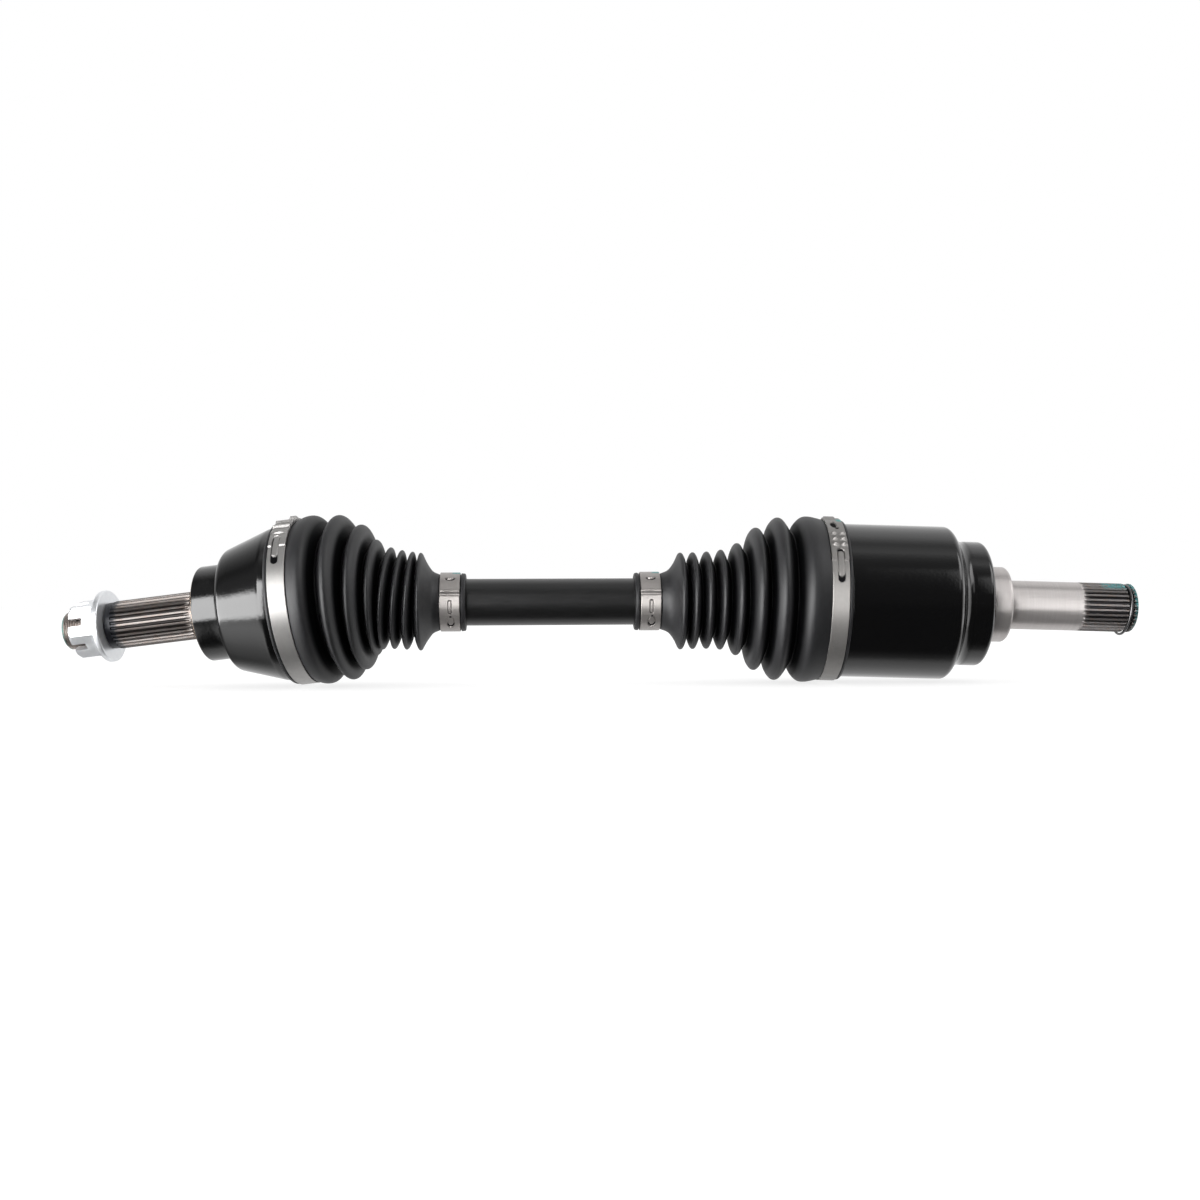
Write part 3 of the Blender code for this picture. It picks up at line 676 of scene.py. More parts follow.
def thread_radius(x, r, theta, row):
    if thread_start <= row < thread_end:
        turn = (x / THREAD_PITCH + theta / 360.0) % 1.0
        cut = np.interp(turn, [0, 0.12, 0.5, 0.62, 1.0], [0.0, 0.0, THREAD_CUT, THREAD_CUT, 0.0])
        return r - cut * (1 - smooth(-133.0, -134.0, x) * 0.75)
    return r


thread = revolve("wheel_stub_thread", thread_profile, circle(96), BELL, thread_radius, sharp=50)
thread_look = thread_material()
thread.data.materials.append(thread_look)
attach(thread, "bell")

# ------------------------------------------------------------------ castellated flange nut
NUT_CORNER = 43.5                             # theta of one corner, degrees
NUT_FLATS = 30.0                              # across flats
NUT_END = -128.8
SLOT_WIDTH, SLOT_LENGTH, SLOT_BEVEL = 4.8, 16.0, 0.55

nut_profile = fillet([(-108.9, 12.6), (-108.9, 20.5, 0.5), (-109.5, 20.95, 0.3),
                      (-111.9, 20.95, 0.5), (-112.5, 20.3, 0.5)], 4)
hex_start = len(nut_profile)
nut_profile += [(-113.0, 19.4), (-113.5, 18.6), (-114.0, 17.9), (-114.5, 17.2), (-115.0, 16.5),
                (-115.6, 15.8), (-116.2, 15.2), (-117.0, 14.6)]
nut_profile += [(x, 14.0) for x in (-119.0, -122.0, -125.5, -126.6, -127.2, -127.8, -128.3)]
hex_end = len(nut_profile)
nut_profile += fillet([(NUT_END, 15.7, 0.3), (NUT_END, 12.5, 0.3), (-127.7, 11.35, 0.3),
                       (-110.0, 11.35), (-108.9, 12.4)], 3)


def nut_radius(x, r, theta, row):
    off_corner = (theta - NUT_CORNER + 30.0) % 60.0 - 30.0
    hexagon = NUT_FLATS / 2 / np.cos(np.radians(30.0 - np.abs(off_corner)))
    if hex_start <= row < hex_end:
        chamfer = 17.6 - 1.7 * smooth(-125.8, NUT_END, x) ** 1.3
        return np.minimum(np.maximum(hexagon, r), max(chamfer, r))
    if row >= hex_end and r > 15:
        return np.minimum(hexagon - 0.25, r)
    return r


def slot_cutter(theta):
    """A rounded block right across the nut's outer end, rolled to theta."""
    block = bmesh.new()
    bmesh.ops.create_cube(block, size=1.0)
    for v in block.verts:
        v.co = Vector((v.co.x * SLOT_LENGTH + NUT_END, v.co.y * SLOT_WIDTH, v.co.z * 60.0))
    bmesh.ops.bevel(block, geom=list(block.edges), offset=SLOT_BEVEL, segments=3,
                    affect="EDGES", profile=0.5)
    cos, sin = math.cos(math.radians(theta)), math.sin(math.radians(theta))
    for v in block.verts:
        x, y, z = v.co
        v.co = (x, y * cos - z * sin, y * sin + z * cos)
        v.co = Vector(to_world(np.array(v.co), BELL))
    bmesh.ops.recalc_face_normals(block, faces=block.faces)
    mesh = bpy.data.meshes.new("cutter")
    block.to_mesh(mesh)
    block.free()
    return link_object("cutter", mesh)


nut = revolve("hub_nut_castle", nut_profile, [NUT_CORNER + k for k in np.arange(0, 360, 1.25)],
              BELL, nut_radius, closed=True, sharp=24)
cutters = [slot_cutter(NUT_CORNER + 30 + 60 * k) for k in range(3)]
for cutter in cutters:
    slots = nut.modifiers.new("cut", "BOOLEAN")
    slots.operation, slots.solver, slots.object = "DIFFERENCE", "EXACT", cutter
bake(nut, sharp=32)
for cutter in cutters:
    bpy.data.objects.remove(cutter, do_unlink=True)
edge_bevel = nut.modifiers.new("edge", "BEVEL")
edge_bevel.width, edge_bevel.segments = 0.00012, 2
edge_bevel.limit_method, edge_bevel.angle_limit = "ANGLE", math.radians(55)
edge_bevel.use_clamp_overlap = True
bake(nut, sharp=30)
nut.data.materials.clear()
give(nut, zinc_material(), "hub_nut", ["hub_nut"])

# ------------------------------------------------------------------ inboard housing, with stub
STUB_TEETH, STUB_PHASE = 30, 1.0              # phase in degrees
STUB_TIP, STUB_ROOT = 14.35, 13.0
BORE_R = 31.5
IN_PITCH_R, IN_TRACK_R = 27.5, 9.5

housing_profile = [(50.5, 0.0), (50.5, 20.0), (50.4, BORE_R)]
bore_start = len(housing_profile)
housing_profile += [(46.0, BORE_R), (20.0, BORE_R), (0.0, BORE_R), (-17.0, BORE_R),
                    (-17.0, 33.55), (-19.4, 33.55), (-19.4, BORE_R), (-21.0, 31.6), (-22.4, 40.2)]
bore_end = len(housing_profile)
# (x, r, corner cut) of the outside, from the mouth to the start of the spline
housing_profile += densify(fillet([
    (-22.5, 41.2), (-22.5, 42.9, 0.6), (-6.9, 42.9), (-6.9, 44.95, 0.5), (54.3, 44.95, 1.6),
    (56.6, 42.9, 1.2), (58.6, 39.0, 1.8), (61.6, 36.7, 1.8), (64.0, 36.2, 0.8), (65.4, 36.5, 0.6),
    (75.0, 36.5, 1.7), (76.7, 34.2, 0.8), (76.7, 22.6, 0.4), (77.2, 22.2, 0.3), (89.8, 22.1, 0.9),
    (91.0, 20.9, 0.3), (91.0, 15.3, 0.6), (92.2, 14.35, 0.9), (133.2, 14.3, 0.5),
    (134.4, 14.35)]), 8.0)
stub_teeth_start = len(housing_profile)
housing_profile += [(x, STUB_TIP) for x in (135.0, 135.6, 136.2, 136.8, 137.6, 138.6,
                                            145, 152, 158, 161.1)]
groove_start = len(housing_profile)
housing_profile += [(161.3, 12.4), (164.25, 12.4)]
groove_end = len(housing_profile)
housing_profile += [(164.45, STUB_TIP), (165.6, STUB_TIP), (166.2, STUB_TIP - 0.35),
                    (166.9, STUB_TIP - 1.3)]
stub_teeth_end = len(housing_profile)
housing_profile += fillet([(167.3, 11.9, 0.2), (167.3, 4.4), (167.0, 3.4, 0.4), (164.8, 1.2)], 3)
housing_profile.append((164.2, 0.0))


def stub_run(x):
    return np.clip((x - 134.4) / 4.2, 0, 1)


def on_stub_teeth(row):
    return stub_teeth_start <= row < groove_start or groove_end <= row < stub_teeth_end


def housing_radius(x, r, theta, row):
    if bore_start <= row < bore_end:          # six straight ball tracks
        along = IN_PITCH_R * np.cos(from_track(theta))
        aside = IN_PITCH_R * np.sin(from_track(theta))
        reach = np.sqrt(np.maximum(IN_TRACK_R ** 2 - aside * aside, 0))
        return np.maximum(np.where(np.abs(aside) < IN_TRACK_R, along + reach, 0.0), r)
    if on_stub_teeth(row):
        depth = tooth_depth(theta, STUB_TEETH, STUB_PHASE)
        return np.minimum(spline_radius(depth, STUB_TIP, STUB_ROOT, stub_run(x)), r)
    return r


# Depth of the stub's tooth roots, and 1 in the snap ring groove, for the painted shade there
def housing_depth(x, r, theta, row):
    if on_stub_teeth(row):
        return tooth_depth(theta, STUB_TEETH, STUB_PHASE) * stub_run(x)
    return 1.0 if groove_start <= row < groove_end else 0.0


housing = revolve("inboard_housing_body", housing_profile, tooth_angles(STUB_TEETH, STUB_PHASE),
                  HOUSING, housing_radius, depth=housing_depth)
give(housing, housing_material(), "housing", ["inboard_housing"])

# ------------------------------------------------------------------ drive bar
BAR_TEETH, BAR_TIP, BAR_TOOTH = 16, 12.0, 1.0
# (x, r, corner cut); a splined end sits in each joint, x = 0 and x = SPAN
bar_profile = densify(fillet([
    (-15.5, 0.0), (-15.5, 9.4), (-14.7, 10.4), (-12.3, 10.4), (-12.15, 12.0), (12.15, 12.0),
    (12.3, 10.4), (14.4, 10.4), (16.4, 12.3, 0.8), (62.0, 12.3, 3.0), (68.0, 13.6, 3.0),
    (84.0, 13.6), (160.0, 13.6), (SPAN - 96.0, 13.6, 3.0), (SPAN - 90.0, 12.3, 3.0),
    (SPAN - 16.4, 12.3, 0.8), (SPAN - 14.4, 10.4), (SPAN - 12.3, 10.4), (SPAN - 12.15, 12.0),
    (SPAN + 12.15, 12.0), (SPAN + 12.3, 10.4), (SPAN + 14.7, 10.4), (SPAN + 15.5, 9.4),
    (SPAN + 15.5, 0.0)], 4), 12.0)


def bar_radius(x, r, theta, row):
    if abs(r - BAR_TIP) < 0.01 and (abs(x) < 12.2 or abs(x - SPAN) < 12.2):
        return BAR_TIP - BAR_TOOTH * tooth_depth(theta, BAR_TEETH)
    return r


bar = revolve("drive_bar_body", bar_profile, tooth_angles(BAR_TEETH), OUT_BAR, bar_radius)
give(bar, bar_material(), "shaft", ["drive_bar"])

# ------------------------------------------------------------------ stub snap ring


def wire_ring(name, frame, centre, tilt, radius, wire, gap, steps=120, sides=12):
    """An open round-wire ring with rounded ends; tilt and gap in degrees, gap on the +Y side."""
    half_gap = math.radians(gap) / 2
    sizes = np.ones(steps)
    sizes[[0, -1]] = 0.55
    sizes[[1, -2]] = 0.9
    turn = Matrix.Rotation(math.radians(tilt), 3, "Y")
    points, faces = [], []
    for angle, size in zip(np.linspace(half_gap, 2 * math.pi - half_gap, steps), sizes):
        outward = np.array([0, math.cos(angle), math.sin(angle)])
        for k in range(sides):
            around = 2 * math.pi * k / sides
            point = outward * (radius + wire * size * math.cos(around))
            point = point + np.array([1, 0, 0]) * wire * size * math.sin(around)
            points.append(np.array(turn @ Vector(point)) + np.array(centre))
    for i in range(steps - 1):
        faces += ring_faces(i * sides, (i + 1) * sides, sides)
    faces.append(tuple(range(sides))[::-1])
    faces.append(tuple((steps - 1) * sides + k for k in range(sides)))
    return make_mesh(name, to_world(np.array(points), frame), faces, 50)


snap_ring = wire_ring("stub_snap_ring_wire", HOUSING, centre=(162.13, 0, -1.15), tilt=5.0,
                      radius=14.5, wire=0.75, gap=22)
give(snap_ring, wire_material(), "housing", ["stub_snap_ring"])

# ------------------------------------------------------------------ boots
BOOT_SEGMENTS = 168
# (half width, shoulder, shoulder drop) of the folds after the first
CRESTS = [(1.25, 3.6, 3.3), (1.1, 3.0, 3.0), (0.95, 2.3, 2.8)] + [(0.72, 1.9, 2.6)] * 4


def sample_outline(line, step, cuts):
    """Splits an outline finely, drops repeated points and adds one at each cut position."""
    line = densify(line, step)
    keep = [line[0]]
    for p in line[1:]:
        if math.hypot(p[0] - keep[-1][0], p[1] - keep[-1][1]) > 1e-4:
            keep.append(p)
    for cut in cuts:
        for i in range(len(keep) - 1):
            (x0, r0), (x1, r1) = keep[i], keep[i + 1]
            if (x0 - cut) * (x1 - cut) < 0:
                t = (cut - x0) / (x1 - x0)
                keep.insert(i + 1, (cut, r0 + (r1 - r0) * t))
                break
    return np.array(keep)


def boot_outlines(mouth, lip, peaks, valleys, cuff, cuts):
    """Outer and inner outline; cuff is (neck, strap seat start, seat end, end of the boot)."""
    neck, seat, seat_end, end = cuff
    x, r = peaks[0]
    scale = (peaks[2][0] - peaks[1][0]) / 10.0
    outer = [(mouth, 43.5), (mouth, 46.75, 0.7), (mouth + 1.55, 46.95, 0.5),
             (mouth + 1.65, 46.4, 0.1), (lip - 2.2, 46.4, 0.4), (lip - 1.6, 47.1, 0.8),
             (x - 1.8, 48.75, 2.2), (x + 2.4, 48.6, 2.4), (x + 5.0 * scale, r - 3.8, 2.4)]
    inner = [(mouth, 43.5), (lip - 1.8, 43.5, 1.5), (x - 1.0, 46.2, 2.2), (x + 1.4, 46.0, 3.0)]
    for k, (valley_x, valley_r) in enumerate(valleys):
        x, r = peaks[k + 1]
        half, shoulder, drop = CRESTS[k]
        half, shoulder = half * scale, shoulder * scale
        crest_cut = 2.2 if k < 3 else 1.3
        outer += [(valley_x - 0.4, valley_r, 0.5), (valley_x + 0.4, valley_r, 0.5),
                  (x - shoulder, r - drop, 1.6), (x - half, r + 0.42, crest_cut),
                  (x + half, r + 0.36, crest_cut)]
        if k + 1 < len(peaks) - 1:
            outer.append((x + shoulder, r - drop, 1.6))
        wall = 2.3 if k < 3 else 1.7
        inner += [(valley_x, valley_r - wall, 1.6), (x, r - wall - 0.4, 1.2)]
    outer += [(x + 3.0, r - 4.4, 2.2), (x + 5.6, r - 8.4, 2.4), (neck, 17.7, 2.2),
              (seat - 0.9, 16.5, 0.5), (seat - 0.35, 16.3, 0.3), (seat - 0.2, 15.9, 0.1),
              (seat_end + 0.2, 15.9, 0.1), (seat_end + 0.5, 16.9, 0.4), (end - 0.4, 16.7, 0.5),
              (end, 15.9, 0.4), (end, 13.95)]
    inner += [(x + 2.2, r - 8.0, 2.0), (neck - 1.0, 15.6, 2.0), (seat - 1.5, 13.95, 0.8),
              (end, 13.95)]
    return sample_outline(fillet(outer, 6), 1.0, cuts), sample_outline(fillet(inner, 4), 3.0, cuts)


def lean_at(x, table):
    """Shift (mm) and slopes of the folds at each x, eased between the table's rows."""
    out = np.zeros((3, len(x)))
    for before, after in zip(table, table[1:]):
        inside = (x >= before[0]) & (x <= after[0])
        t = (x[inside] - before[0]) / (after[0] - before[0])
        t = t * t * (3 - 2 * t)
        for k in range(3):
            out[k, inside] = before[k + 1] + (after[k + 1] - before[k + 1]) * t
    return out


def grid_normals(points):
    """Normals of a grid of rings from each point's neighbours, turned outward."""
    step = points[1:] - points[:-1]
    step = step / np.maximum(np.linalg.norm(step, axis=2, keepdims=True), 1e-9)
    along = np.empty_like(points)
    along[1:-1] = step[1:] + step[:-1]
    along[0], along[-1] = step[0], step[-1]
    normals = np.cross(along, np.roll(points, -1, 1) - np.roll(points, 1, 1))
    normals /= np.maximum(np.linalg.norm(normals, axis=2, keepdims=True), 1e-12)
    inside_out = ((points - points.mean(1, keepdims=True)) * normals).sum() < 0
    return -normals if inside_out else normals


def boot(node, joint_frame, bar_frame, sign, shape, bend, pieces, look, lean=()):
    """Builds the boot as short closed pieces that share their boundary rings.

    sign is the way x runs from the joint along the frame; bend is where the boot passes from
    the joint's frame to the bar's.  pieces: (from x, to x, body or (body at from, at to))."""
    count = BOOT_SEGMENTS
    outer, inner = boot_outlines(*shape, cuts=[piece[0] for piece in pieces[1:]])
    peaks = shape[2]
    angles = np.radians(circle(count))

    def place(line):
        x, r = line[:, 0][:, None], line[:, 1][:, None]
        local = np.stack([sign * x + 0 * angles, -r * np.sin(angles), r * np.cos(angles)], 2)
        shift, z_slope, y_slope = (v[:, None] for v in lean_at(line[:, 0], lean))
        local[:, :, 0] += shift + z_slope * local[:, :, 2] + y_slope * local[:, :, 1]
        w = np.clip((x - bend[0]) / (bend[1] - bend[0]), 0, 1)
        w = (w * w * (3 - 2 * w))[:, :, None]
        return to_world(local, joint_frame) * (1 - w) + to_world(local, bar_frame) * w, local

    outer_points, outer_local = place(outer)
    inner_points, inner_local = place(inner)
    outer_normals = grid_normals(outer_points)
    # how deep each outer point lies in a fold's valley; the look paints shade there by it
    peak_r = np.interp(outer[:, 0], [p[0] for p in peaks], [p[1] for p in peaks])
    in_folds = (outer[:, 0] > peaks[0][0]) & (outer[:, 0] < peaks[-1][0])
    fold_depth = np.where(in_folds, np.clip((peak_r - outer[:, 1] - 0.6) / 3.4, 0, 1), 0)

    def rows_between(line, start, end):
        return np.where((line[:, 0] >= start - 1e-6) & (line[:, 0] <= end + 1e-6))[0]

    for letter, (start, end, bodies) in zip("abcdefg", pieces):
        outs = rows_between(outer, start, end)
        ins = rows_between(inner, start, end)

        def joined(outside, inside):
            return np.concatenate([outside[outs].reshape(-1, 3), inside[ins].reshape(-1, 3)])

        depth = np.concatenate([np.repeat(fold_depth[outs], count), np.ones(len(ins) * count)])
        base = len(outs) * count
        faces = []
        for i in range(len(outs) - 1):
            faces += ring_faces(i * count, (i + 1) * count, count)
        skin_corners = 4 * len(faces)
        for i in range(len(ins) - 1):
            faces += ring_faces(base + (i + 1) * count, base + i * count, count)
        faces += ring_faces(base, 0, count)
        faces += ring_faces(base - count, base + (len(ins) - 1) * count, count)
        obj = make_mesh(node + "_skin_" + letter, joined(outer_points, inner_points), faces, None,
                        {"lp": joined(outer_local, inner_local), "depth": depth})
        mesh = obj.data
        # the outer skin keeps the whole boot's normals, so that the pieces meet without a line
        face_normals = np.empty(len(mesh.polygons) * 3)
        mesh.polygons.foreach_get("normal", face_normals)
        corners = np.repeat(face_normals.reshape(-1, 3), 4, 0)
        corner_points = np.empty(len(mesh.loops), int)
        mesh.loops.foreach_get("vertex_index", corner_points)
        skin_normals = outer_normals[outs].reshape(-1, 3)
        corners[:skin_corners] = skin_normals[corner_points[:skin_corners]]
        mesh.normals_split_custom_set([tuple(v) for v in corners])
        mesh.materials.append(look)
        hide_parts(node)
        if isinstance(bodies, str):
            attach(obj, bodies)
            continue
        ends = [tuple(bar_frame[:3, 3] + bar_frame[:3, 0] * sign * x * MM) for x in (start, end)]
        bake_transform(obj, bodies[0], bodies[1], *ends)
        station = np.repeat(np.concatenate([outer[outs, 0], inner[ins, 0]]), count)
        weight = np.clip((station - start) / (end - start), 0, 1).astype(np.float32)
        mesh.attributes["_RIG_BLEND"].data.foreach_set("value", weight)


# (x, r) of the folds' peaks and of the valleys between them
OUT_PEAKS = [(16.4, 48.7), (30.3, 47.2), (40.3, 41.4), (47.3, 33.0),
             (54.6, 29.05), (61.5, 28.2), (67.6, 28.0), (73.8, 28.0)]
OUT_VALLEYS = [(23.9, 38.6), (35.7, 33.6), (44.0, 27.0), (51.0, 22.0),
               (58.1, 21.2), (64.6, 20.9), (70.7, 20.9)]
IN_PEAKS = [(28.1, 48.6), (44.6, 47.4), (57.0, 41.5), (67.7, 32.6),
            (77.1, 29.0), (85.4, 28.2), (93.5, 28.0), (100.8, 28.0)]
IN_VALLEYS = [(36.8, 39.2), (51.3, 34.0), (62.9, 27.4), (72.6, 22.2),
              (81.3, 21.4), (89.5, 21.0), (97.2, 21.0)]
# (x, shift along X in mm, slope with local Z, slope with local Y)
OUT_LEAN = [(8.0, 0.0, 0.0, 0.0), (16.4, 1.3, 0.012, 0.027), (30.3, 2.2, 0.016, 0.046),
            (40.3, 2.0, 0.048, 0.048), (47.3, 1.9, 0.060, 0.012), (54.6, 0.3, 0.131, 0.0),
            (61.5, -0.3, 0.113, 0.0), (67.6, 0.0, 0.082, 0.0), (73.8, 0.0, 0.012, 0.0),
            (80.0, 0.0, 0.0, 0.0)]
boot_look = boot_material()
boot("outboard_boot", BELL, OUT_BAR, 1,
     shape=(-2.0, 12.6, OUT_PEAKS, OUT_VALLEYS, (81.0, 85.0, 96.8, 99.9)), bend=(14.0, 84.0),
     pieces=[(-2.0, 11.5, "bell"), (11.5, 20.0, ("bell", "outboard_ball_4")),
             (20.0, 34.4, ("outboard_ball_4", "outboard_cage")),
             (34.4, 45.6, ("outboard_cage", "outboard_ball_1")),
             (45.6, 51.0, ("outboard_ball_1", "shaft")), (51.0, 99.9, "shaft")],
     look=boot_look, lean=OUT_LEAN)
boot("inboard_boot", HOUSING, IN_BAR, -1,
     shape=(7.1, 20.6, IN_PEAKS, IN_VALLEYS, (108.6, 112.9, 125.2, 127.9)), bend=(22.0, 111.0),
     pieces=[(7.1, 19.6, "housing"), (19.6, 50.0, ("housing", "inboard_boot")),
             (50.0, 55.5, ("inboard_boot", "inboard_ball_4")),
             (55.5, 61.5, ("inboard_ball_4", "inboard_cage")),
             (61.5, 68.0, ("inboard_cage", "inboard_ball_1")),
             (68.0, 73.5, ("inboard_ball_1", "shaft")), (73.5, 127.9, "shaft")],
     look=boot_look)

# ------------------------------------------------------------------ boot clamps
BIG_RADII, SMALL_RADII = (46.75, 47.45), (16.15, 17.0)    # inner, outer
BIG_WIDTH, SMALL_WIDTH = 9.9, 11.4
BIG_DEGREE = math.radians(1) * 47.4           # mm of arc per degree
SMALL_DEGREE = math.radians(1) * SMALL_RADII[1]


def strap_angles(start, end, step, coarse=3.0):
    """Fine steps over the pressed features from start to end, coarse steps elsewhere."""
    return list(np.arange(start, end, step)) + list(np.arange(end, start + 360.0, coarse))


def strap(name, frame, ends, radii, thetas, rows, face, look, body, node):
    """A closed strap.  face(turn, across) gives the (height in mm, painted shade, teal paint) of its
    outside, with turn the theta in -180..180 degrees and across 0..1 over the width."""
    start, end = ends
    inner, outer = radii
    across = np.linspace(0, 1, rows)
    profile = [(start + (end - start) * u, outer) for u in across]
    profile += [(end, inner), (start, inner)]

    def face_at(theta, row):
        return face((theta % 360.0 + 180.0) % 360.0 - 180.0, across[row])

    def radius(x, r, theta, row):
        if row >= rows:
            return r
        edge = 0.16 if row in (0, rows - 1) else 0.0
        return np.maximum(outer + face_at(theta, row)[0] - edge, inner + 0.12)

    def mark(index):
        return lambda x, r, theta, row: face_at(theta, row)[index] if row < rows else 0.0

    obj = revolve(name, profile, thetas, frame, radius, closed=True, sharp=28,
                  dark=mark(1), teal=mark(2))
    give(obj, look, body, [node])


def slot_field(turn, across, start, end, middle, half):
    """Distance, in mm, into a round-ended slot along a large strap: positive inside."""
    y = (across - middle) * BIG_WIDTH
    along = (turn - (start + end) / 2) * BIG_DEGREE
    reach = abs(end - start) / 2 * BIG_DEGREE - half
    return half - np.hypot(np.maximum(np.abs(along) - reach, 0), y)


def outboard_face(turn, across):
    """A raised overlap with three ears, a slot with a tongue in it, a tab and a pit."""
    overlap = 0.75 * window(turn, -9.0, 48.2, soft=0.5)
    height = overlap
    for centre, rise in ((17.6, 1.3), (26.2, 1.3), (34.4, 1.1)):
        ear = smooth(centre - 2.6, centre + 0.6, turn)
        ear = ear * (1 - smooth(centre + 0.9, centre + 2.4, turn))
        waist = 0.75 + 0.25 * math.cos((across - 0.5) * 2 * math.pi) if rise < 1.2 else 1.0
        height = height + rise * ear * waist
    slot = slot_field(turn, across, 38.6, 62.9, middle=0.42, half=2.15)
    tongue = slot_field(turn, across, 36.0, 57.4, middle=0.44, half=1.60)
    height = height - (overlap + 0.15) * smooth(-0.15, 0.15, slot)
    height = height + 0.55 * smooth(-0.2, 0.2, tongue) * smooth(-0.1, 0.2, slot)
    height = height - 0.35 * smooth(0.0, 0.4, slot) * smooth(57.0, 58.0, turn)
    tab = window(turn, 1.0, 5.6, soft=0.35) * window(across, 0.50, 0.92, soft=0.05)
    height = height + 1.55 * tab * (0.6 + 0.4 * smooth(1.0, 5.0, turn))
    pit = window(turn, 6.2, 9.0, soft=0.4) * window(across, 0.22, 0.80, soft=0.04)
    # painted shade: the floor of the pit and the slot's gap round the tongue are painted dark
    pit_shade = window(turn, 6.2, 9.0, soft=0.3) * window(across, 0.24, 0.78, soft=0.03)
    crescent = smooth(-0.05, 0.15, slot) * (1 - smooth(-0.25, 0.0, tongue))
    return height - 1.0 * pit, np.clip(crescent + pit_shade, 0, 1), 0.0


def inboard_face(turn, across):
    """A raised overlap with three lumps, a hole, a notch, a slot with a tongue, and a tab."""
    overlap = 0.75 * window(turn, 4.0, 62.0, soft=0.5)
    height = overlap
    for centre in (38.6, 44.2, 49.4):
        lump = np.exp(-((turn - centre) / 1.25) ** 2)
        height = height + lump * (0.85 + 0.70 * np.cos((across - 0.28) * 2 * math.pi * 2.0))
    y = (across - 0.40) * BIG_WIDTH
    hole = 1.9 * (1 - np.hypot((turn - 25.8) / 5.0, y / 1.9))
    hole_shade = 1.9 * (1 - np.hypot((turn - 25.8) / 4.8, y / 1.85))
    height = height - 0.9 * smooth(-0.12, 0.25, hole)
    notch = window(turn, 30.2, 32.4, soft=0.3) * window(across, 0.46, 0.66, soft=0.04)
    height = height - 0.6 * notch
    slot = slot_field(turn, across, 53.0, 78.2, middle=0.52, half=2.15)
    tongue = slot_field(turn, across, 55.0, 74.2, middle=0.53, half=1.75)
    height = height - (overlap + 0.15) * smooth(-0.15, 0.15, slot)
    height = height + 0.62 * smooth(-0.2, 0.2, tongue) * smooth(-0.1, 0.2, slot)
    tab = window(turn, 6.0, 15.0, soft=0.5) * window(across, 0.06, 0.72, soft=0.05)
    height = height + 1.0 * tab * smooth(17.0, 8.0, turn)
    # painted shade: the hole, the notch and the slot's gap round the tongue are painted dark
    crescent = smooth(-0.05, 0.15, slot) * (1 - smooth(-0.25, 0.0, tongue))
    crescent = crescent * np.maximum(smooth(70.0, 72.0, turn), 1 - smooth(54.5, 56.0, turn))
    dark = np.clip(smooth(0.0, 0.2, hole_shade) + crescent + notch, 0, 1)
    teal = window(turn, 14.0, 20.0, soft=1.2) * window(across, 0.70, 1.2, soft=0.08)
    return height, dark, teal


def small_face(turn, across):
    """A low overlap with a ridge, a hook, a slot, a keyhole with a tongue in it, and a dot."""
    y = (across - 0.5) * SMALL_WIDTH
    hook = np.hypot((turn - 36.5) * SMALL_DEGREE * 1.15, (y - 0.2) * 0.80)
    past_end = np.maximum(np.abs((turn - 99.5) * SMALL_DEGREE) - 2.9, 0)
    slot = 1.15 - np.hypot(past_end, y - 0.2)
    key = 2.3 * (1 - np.hypot((turn - 133.5) / 13.8, (y - 0.5) / 2.35))
    tongue = 1.5 * (1 - np.hypot((turn - 130.5) / 11.0, (y - 0.5) / 1.55))
    height = 0.42 * window(turn, 4.0, 118.0, soft=0.6)
    ridge = 1.05 * np.exp(-((turn - 69.0) / 2.6) ** 2)
    height = height + ridge * (0.8 + 0.35 * math.exp(-((y + 1.4) / 1.6) ** 2))
    height = height - 0.40 * np.exp(-((turn - 75.0) / 2.0) ** 2)
    hook_side = smooth(34.0, 39.0, turn)
    height = height - 0.55 * window(hook, 1.5, 2.5, soft=0.25) * hook_side
    height = height + 0.45 * (1 - smooth(0.9, 1.5, hook))
    height = height - 0.5 * smooth(-0.12, 0.12, slot) + 0.34 * smooth(-0.1, 0.12, slot - 0.50)
    height = height - 0.62 * smooth(-0.15, 0.2, key)
    height = height + 0.60 * smooth(-0.15, 0.15, tongue)
    # painted shade: the hook's groove, the keyhole's gap round the tongue and the inside of the slot's edge
    # are painted dark; a dark dot is added as well
    hook_shade = window(hook, 1.55, 2.35, soft=0.15) * hook_side
    dot = 1 - smooth(0.55, 0.85, np.hypot((turn - 119.0) * SMALL_DEGREE, y - 0.5))
    low = smooth(0.0, 0.15, key) * (1 - smooth(-0.2, 0.05, tongue)) * smooth(133.0, 138.0, turn)
    rim = window(slot, 0.0, 0.42, soft=0.10) * 0.85
    teal = window(turn, -24.0, 19.0, soft=2.5) * window(across, 0.62, 1.2, soft=0.06) * 0.95
    return height, np.clip(hook_shade + dot + low + rim, 0, 1), teal


outboard_look = strap_material("outboard_strap_look", (0.44, 0.43, 0.42), 0.44, BELL)
inboard_look = strap_material("inboard_strap_look", (0.30, 0.29, 0.28), 0.46, HOUSING)
small_look = strap_material("small_strap_look", (0.42, 0.395, 0.38), 0.42, OUT_BAR)
strap("outboard_large_strap", BELL, (0.6, 10.5), BIG_RADII, strap_angles(-12, 66, 0.45), 34,
      outboard_face, outboard_look, "bell", "outboard_large_clamp")
strap("inboard_large_strap", HOUSING, (-19.0, -9.35), BIG_RADII, strap_angles(0, 84, 0.45), 34,
      inboard_face, inboard_look, "housing", "inboard_large_clamp")
for side, bar_frame, ends in (("outboard", OUT_BAR, (85.2, 96.6)),
                              ("inboard", IN_BAR, (-124.8, -113.3))):
    strap(side + "_small_strap", bar_frame, ends, SMALL_RADII, strap_angles(-30, 156, 0.75, 5.0),
          46, small_face, small_look, "shaft", side + "_small_clamp")

